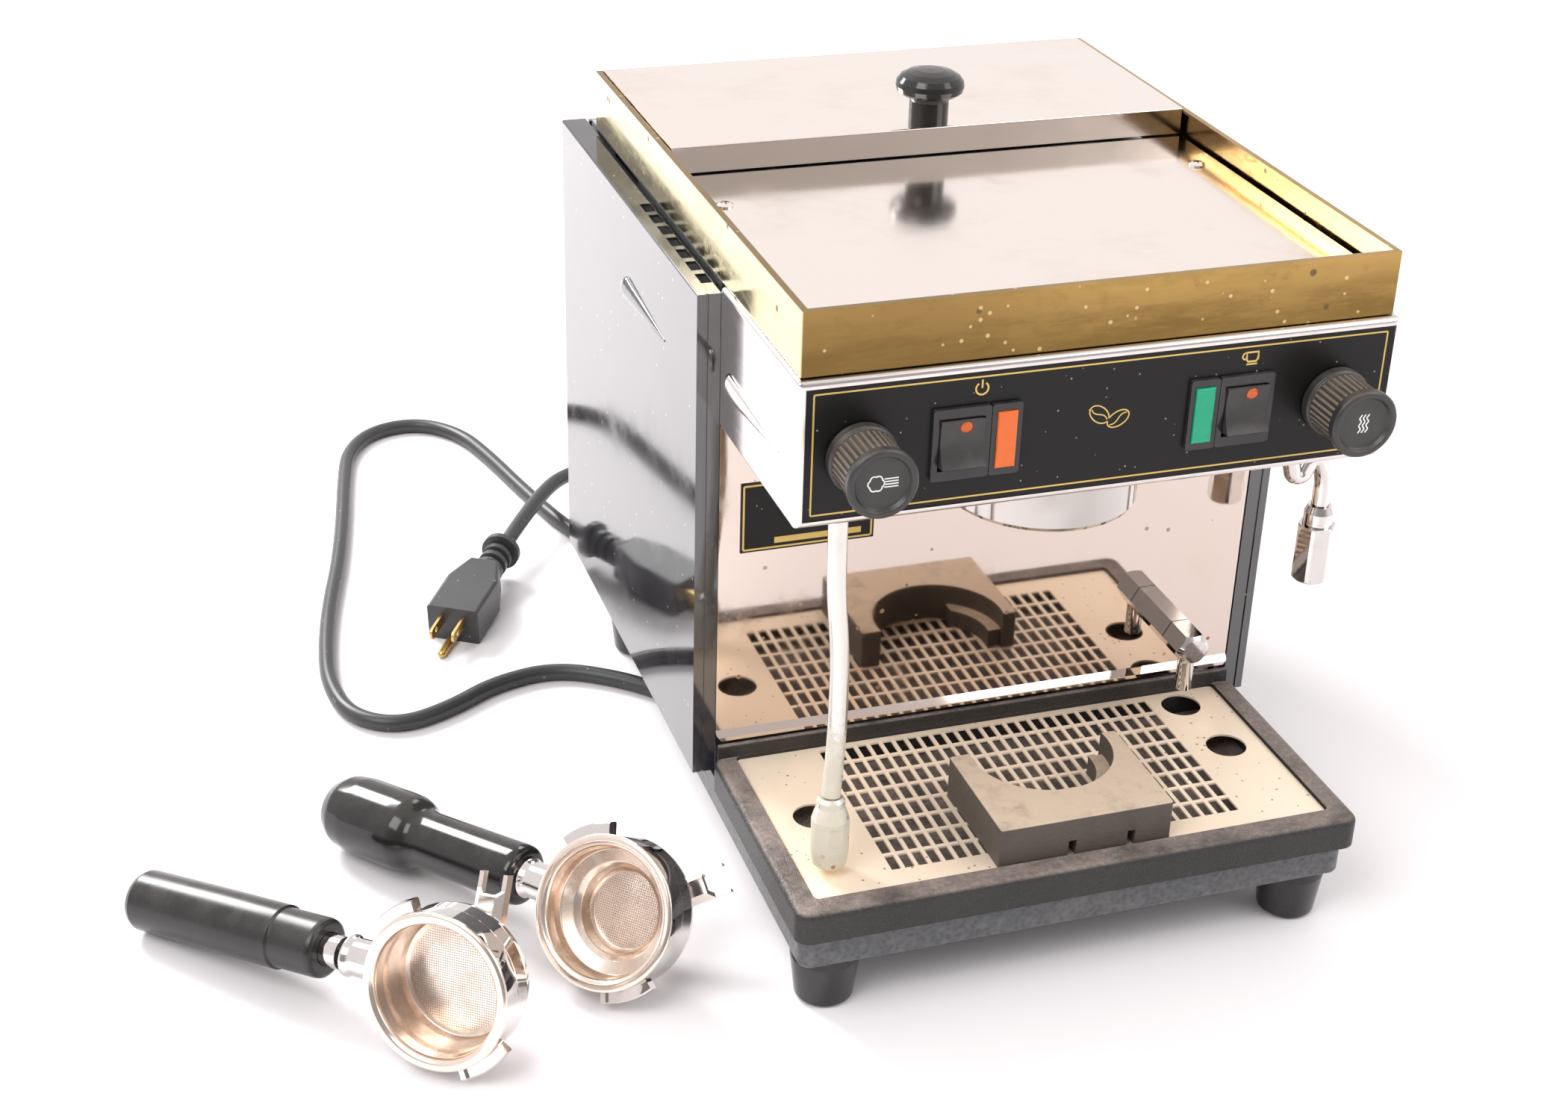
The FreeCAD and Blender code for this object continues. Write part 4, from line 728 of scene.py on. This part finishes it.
# Sizes of a portafilter in millimetres; heights are measured from the basket's rim along the opening direction.
BOWL = [(30.6, -1.6), (34.2, -1.6), (34.2, -11.6), (33.7, -12.0), (33.7, -20.5), (32.6, -24.2), (29.6, -27.6),
        (25.0, -29.6), (12.0, -30.6), (0, -30.6)]
NECK = [(9.2, 32.6), (8.6, 48), (8.6, 50), (9.8, 52.6), (8.4, 55.4), (7.6, 57), (7.6, 66.4)]
HANDLE_DROP, GRIP_START = 14.0, 66.2     # of the handle's axis below the rim, and of the grip from the bowl's axis
EAR_IN, EAR_OUT, EAR_LOW, EAR_HIGH, EAR_HALF = 33.4, 40.0, -8.4, -3.4, 19
STOP_TOP, STOP_BACK, STOP_HALF = -2.0, 17, 2
BASKET_RIM = [(29.3, -7.2), (29.3, -1.6), (29.9, -0.2), (31.6, 0.7), (33.6, 0.8), (34.8, 0.2), (35.0, -0.6),
              (34.4, -1.3), (30.0, -1.3), (30.0, -7.2)]
DEEP_WALL = [(29.4, -10.0), (28.6, -19.0), (27.6, -22.2), (25.6, -23.4)]
STEPPED_WALL = [(28.8, -10.6), (23.0, -12.6), (20.4, -15.0), (19.6, -21.0), (18.2, -23.2)]
BASKET_WALL = 0.7
STRAIGHT_GRIP = [(7.8, 0), (11.5, 0), (13.2, 1.0), (13.6, 3.0), (13.6, 24), (14.6, 24.6), (14.6, 60), (14.2, 105),
                 (12.6, 108), (0, 108)]
BULB_GRIP = [(7.8, -12), (11.6, -12), (13.8, -10.8), (14.5, -8), (14.2, 18), (13.9, 48), (14.6, 52.6), (17.2, 56.4),
             (18.6, 60.5), (19.0, 67), (18.8, 92), (17.6, 101), (14.0, 107.6), (8.0, 110.8), (0, 111.8)]


def portafilters():
    """Two portafilters, each laid on its own axes.

    The bowls, beaded necks, rolled-rim baskets and grips are turned; the bayonet ears are bars bent round the bowl.
    """
    kinds = (("double", DOUBLE, 129, STRAIGHT_GRIP, DEEP_WALL, 0.4,
              basket_steel("deep basket", DOUBLE[0], basket_axes(DOUBLE), 0.0242, -0.0222),
              plastic("satin black handle", (0.010, 0.010, 0.010), 0.26, 0.07, 0.01)),
             ("single", SINGLE, 121, BULB_GRIP, STEPPED_WALL, 1.6,
              basket_steel("stepped basket", SINGLE[0], basket_axes(SINGLE), 0.0170, -0.0220),
              plastic("gloss black handle", (0.009, 0.009, 0.009), 0.13, 0.06, 0.0)))
    chrome = bright_chrome()
    for kind, lie, ear, grip, wall, soft, basket_paint, grip_paint in kinds:
        centre, out, way = np.array(lie[0]), unit(lie[1]), unit(lie[2])
        axis, first, second = (np.array(v) for v in basket_axes(lie))
        on_grip = centre - HANDLE_DROP * MM * out
        grids = [turned(BOWL, centre, out, 0.6, 128), turned(NECK, on_grip, way, 1.0, 64)]
        for middle in (ear, ear + 180):
            bars = (sector(EAR_IN, EAR_OUT, EAR_LOW, EAR_HIGH, middle, EAR_HALF),
                    sector(EAR_IN, EAR_OUT, EAR_LOW, STOP_TOP, middle - STOP_BACK, STOP_HALF, 4))
            for points, *wraps in bars:
                grids.append((centre + points * MM @ np.stack([first, second, axis]), *wraps))
        body = BODY_OF[kind + "_filter_body"]
        piece(kind + "_bowl", grids, chrome, body, "chrome", [kind + "_filter_body"])
        floor = wall[-1][1]
        inside = [(r - BASKET_WALL, h) for r, h in wall[:-1]]
        inside.append((wall[-1][0] - BASKET_WALL, floor + BASKET_WALL))
        outline = [(0, floor + BASKET_WALL)] + inside[::-1] + BASKET_RIM + wall + [(0, floor)]
        piece(kind + "_basket_shell", [turned(outline, centre, out, 0.5, 128)], basket_paint,
              BODY_OF[kind + "_filter_basket"], "brushed_steel", [kind + "_filter_basket"])
        piece(kind + "_grip", [turned(grip, on_grip + GRIP_START * MM * way, way, soft, 96)], grip_paint, body,
              SLOT_OF[kind + "_filter_handle"], [kind + "_filter_handle"])


def printed_panel():
    """Gold outline, power sign, cup sign and two beans on the control panel; gold border on the small plate."""
    gold = ink("gold ink", (0.70, 0.49, 0.14), 0.3)
    front = (0.0009, -0.1602, 0.0)
    marks = [stroke(rectangle(-128.9, 128.9, 237.6, 291.2), 0.7, front, X, Z, True)]
    power = arc(2.7, 125, 415, (-57.0, 286.0))
    marks += [stroke(power, 0.75, front, X, Z), stroke([(-57.0, 286.2), (-57.0, 289.9)], 0.75, front, X, Z)]
    cup = [(62.4, 288.6), (62.4, 285.6), (63.2, 284.4), (67.0, 284.4), (67.8, 285.6), (67.8, 288.6)]
    marks += [stroke(cup, 0.9, front, X, Z, True), stroke(arc(1.5, 90, 270, (62.0, 287.0), 16), 0.7, front, X, Z),
              stroke([(62.6, 283.2), (67.6, 283.2)], 0.7, front, X, Z)]
    for centre, tilt in (((-3.4, 268.0), -0.7), ((5.4, 265.2), 0.5)):
        shell, seam = bean(np.array(centre), tilt)
        marks += [stroke(shell, 0.55, front, X, Z, True), stroke(seam, 0.5, front, X, Z)]
    piece("panel_marks", marks, gold, "machine", "panel_overlay")
    plate = (0, -0.0569, 0)
    border = [stroke(rectangle(-122.9, -61.0, 167.9, 200.3), 0.9, plate, X, Z, True),
              stroke([(-108.0, 171.4), (-66.0, 171.4)], 3.0, plate, X, Z)]
    piece("plate_marks", border, gold, "machine", "panel_overlay")


DOT_PLACE, DOT_WAY = (-0.1633, 0.27085), (0, -0.98, -0.18)   # depth and height of the domes, and where they face


def rocker_dots():
    """Low amber domes near the top of both rockers."""
    amber = lens("amber lens", (0.75, 0.13, 0.02))
    for x, node in ((-0.0631, "power_rocker"), (0.0664, "brew_rocker")):
        dome = turned([(2.7, -0.6), (2.6, 0.2), (1.6, 0.8), (0, 1.0)], (x, *DOT_PLACE), DOT_WAY, 0.3, 32)
        piece(node + "_dot", [dome], amber, BODY_OF[node], "orange_lens")


# ---- finishes on the CAD nodes ------------------------------------------
def finish_nodes():
    """Gives every CAD node its finish, by slot first and then by name."""
    steel = steel_plate()
    by_slot = {
        "hammered_paint": hammer_paint(), "black_gloss_paint": gloss_panel(), "polished_steel": mirror_splash(),
        "brushed_steel": steel, "chrome": bright_chrome(), "brass": brass_tarnish_and_painted_reflections(),
        "copper": metal("bare copper", (0.75, 0.40, 0.26), 0.3, (0.30, 0.14, 0.08), 0.6),
        "black_plastic": plastic("matt black moulding", (0.024, 0.023, 0.023), 0.42, 0.3, 0.06),
        "gloss_black": plastic("gloss black moulding", (0.014, 0.014, 0.015), 0.16, 0.12, 0.02),
        "black_rubber": plastic("black rubber", (0.025, 0.024, 0.025), 0.5, 0.15, 0.08),
        "panel_overlay": overlay(),
        "orange_lens": lens("orange lens", (0.90, 0.17, 0.02)),
        "green_lens": lens("green lens", (0.0, 0.42, 0.22)),
        "seal": plastic("seal compound", (0.70, 0.68, 0.62), 0.5, 0.1),
        "tank_plastic": plastic("tank moulding", (0.78, 0.80, 0.78), 0.4, 0.15),
        "controller": plastic("grey moulding", (0.40, 0.41, 0.43), 0.45, 0.25),
        "galvanised": metal("galvanised steel", (0.60, 0.61, 0.61), 0.42, (0.42, 0.42, 0.42), 0.5),
        "tray_plastic": leather_tray(),
        "cord_jacket": jacket("plug moulding", (0.032, 0.032, 0.034)),
    }
    by_name = {
        "lid_knob": plastic("gloss knob", (0.010, 0.010, 0.010), 0.10, 0.05, 0.0),
        "rubber_feet": plastic("gloss foot", (0.012, 0.011, 0.012), 0.22, 0.10, 0.0),
        "power_plug": plug_moulding(PLUG_END, PLUG_WAY),
        "head_shell": metal("satin head sheet", (0.72, 0.68, 0.66), 0.16, (0.50, 0.44, 0.39), grain=(3, 3, 300),
                            grain_depth=0.02),
        "drip_grid": dusty_grid(),
        "tamp_stand": dusty_stand(),
        "steam_wand_tube": stained_pipe("steam pipe", 0.09, 0.15),
        "steam_wand_tip": stained_pipe("steam nozzle", 0.07, 0.12),
        "group_head": metal("group chrome", (0.50, 0.47, 0.45), 0.07, (0.25, 0.22, 0.20), 0.5, (10, 10, 10), 0.0),
    }
    for node, made in NODES.items():
        paint = by_name.get(node) or by_slot[SLOT_OF[node]]
        made.data.materials.clear()
        made.data.materials.append(paint.material)


camera()
studio()
lead()
tap_knobs()
printed_panel()
rocker_dots()
portafilters()
finish_nodes()
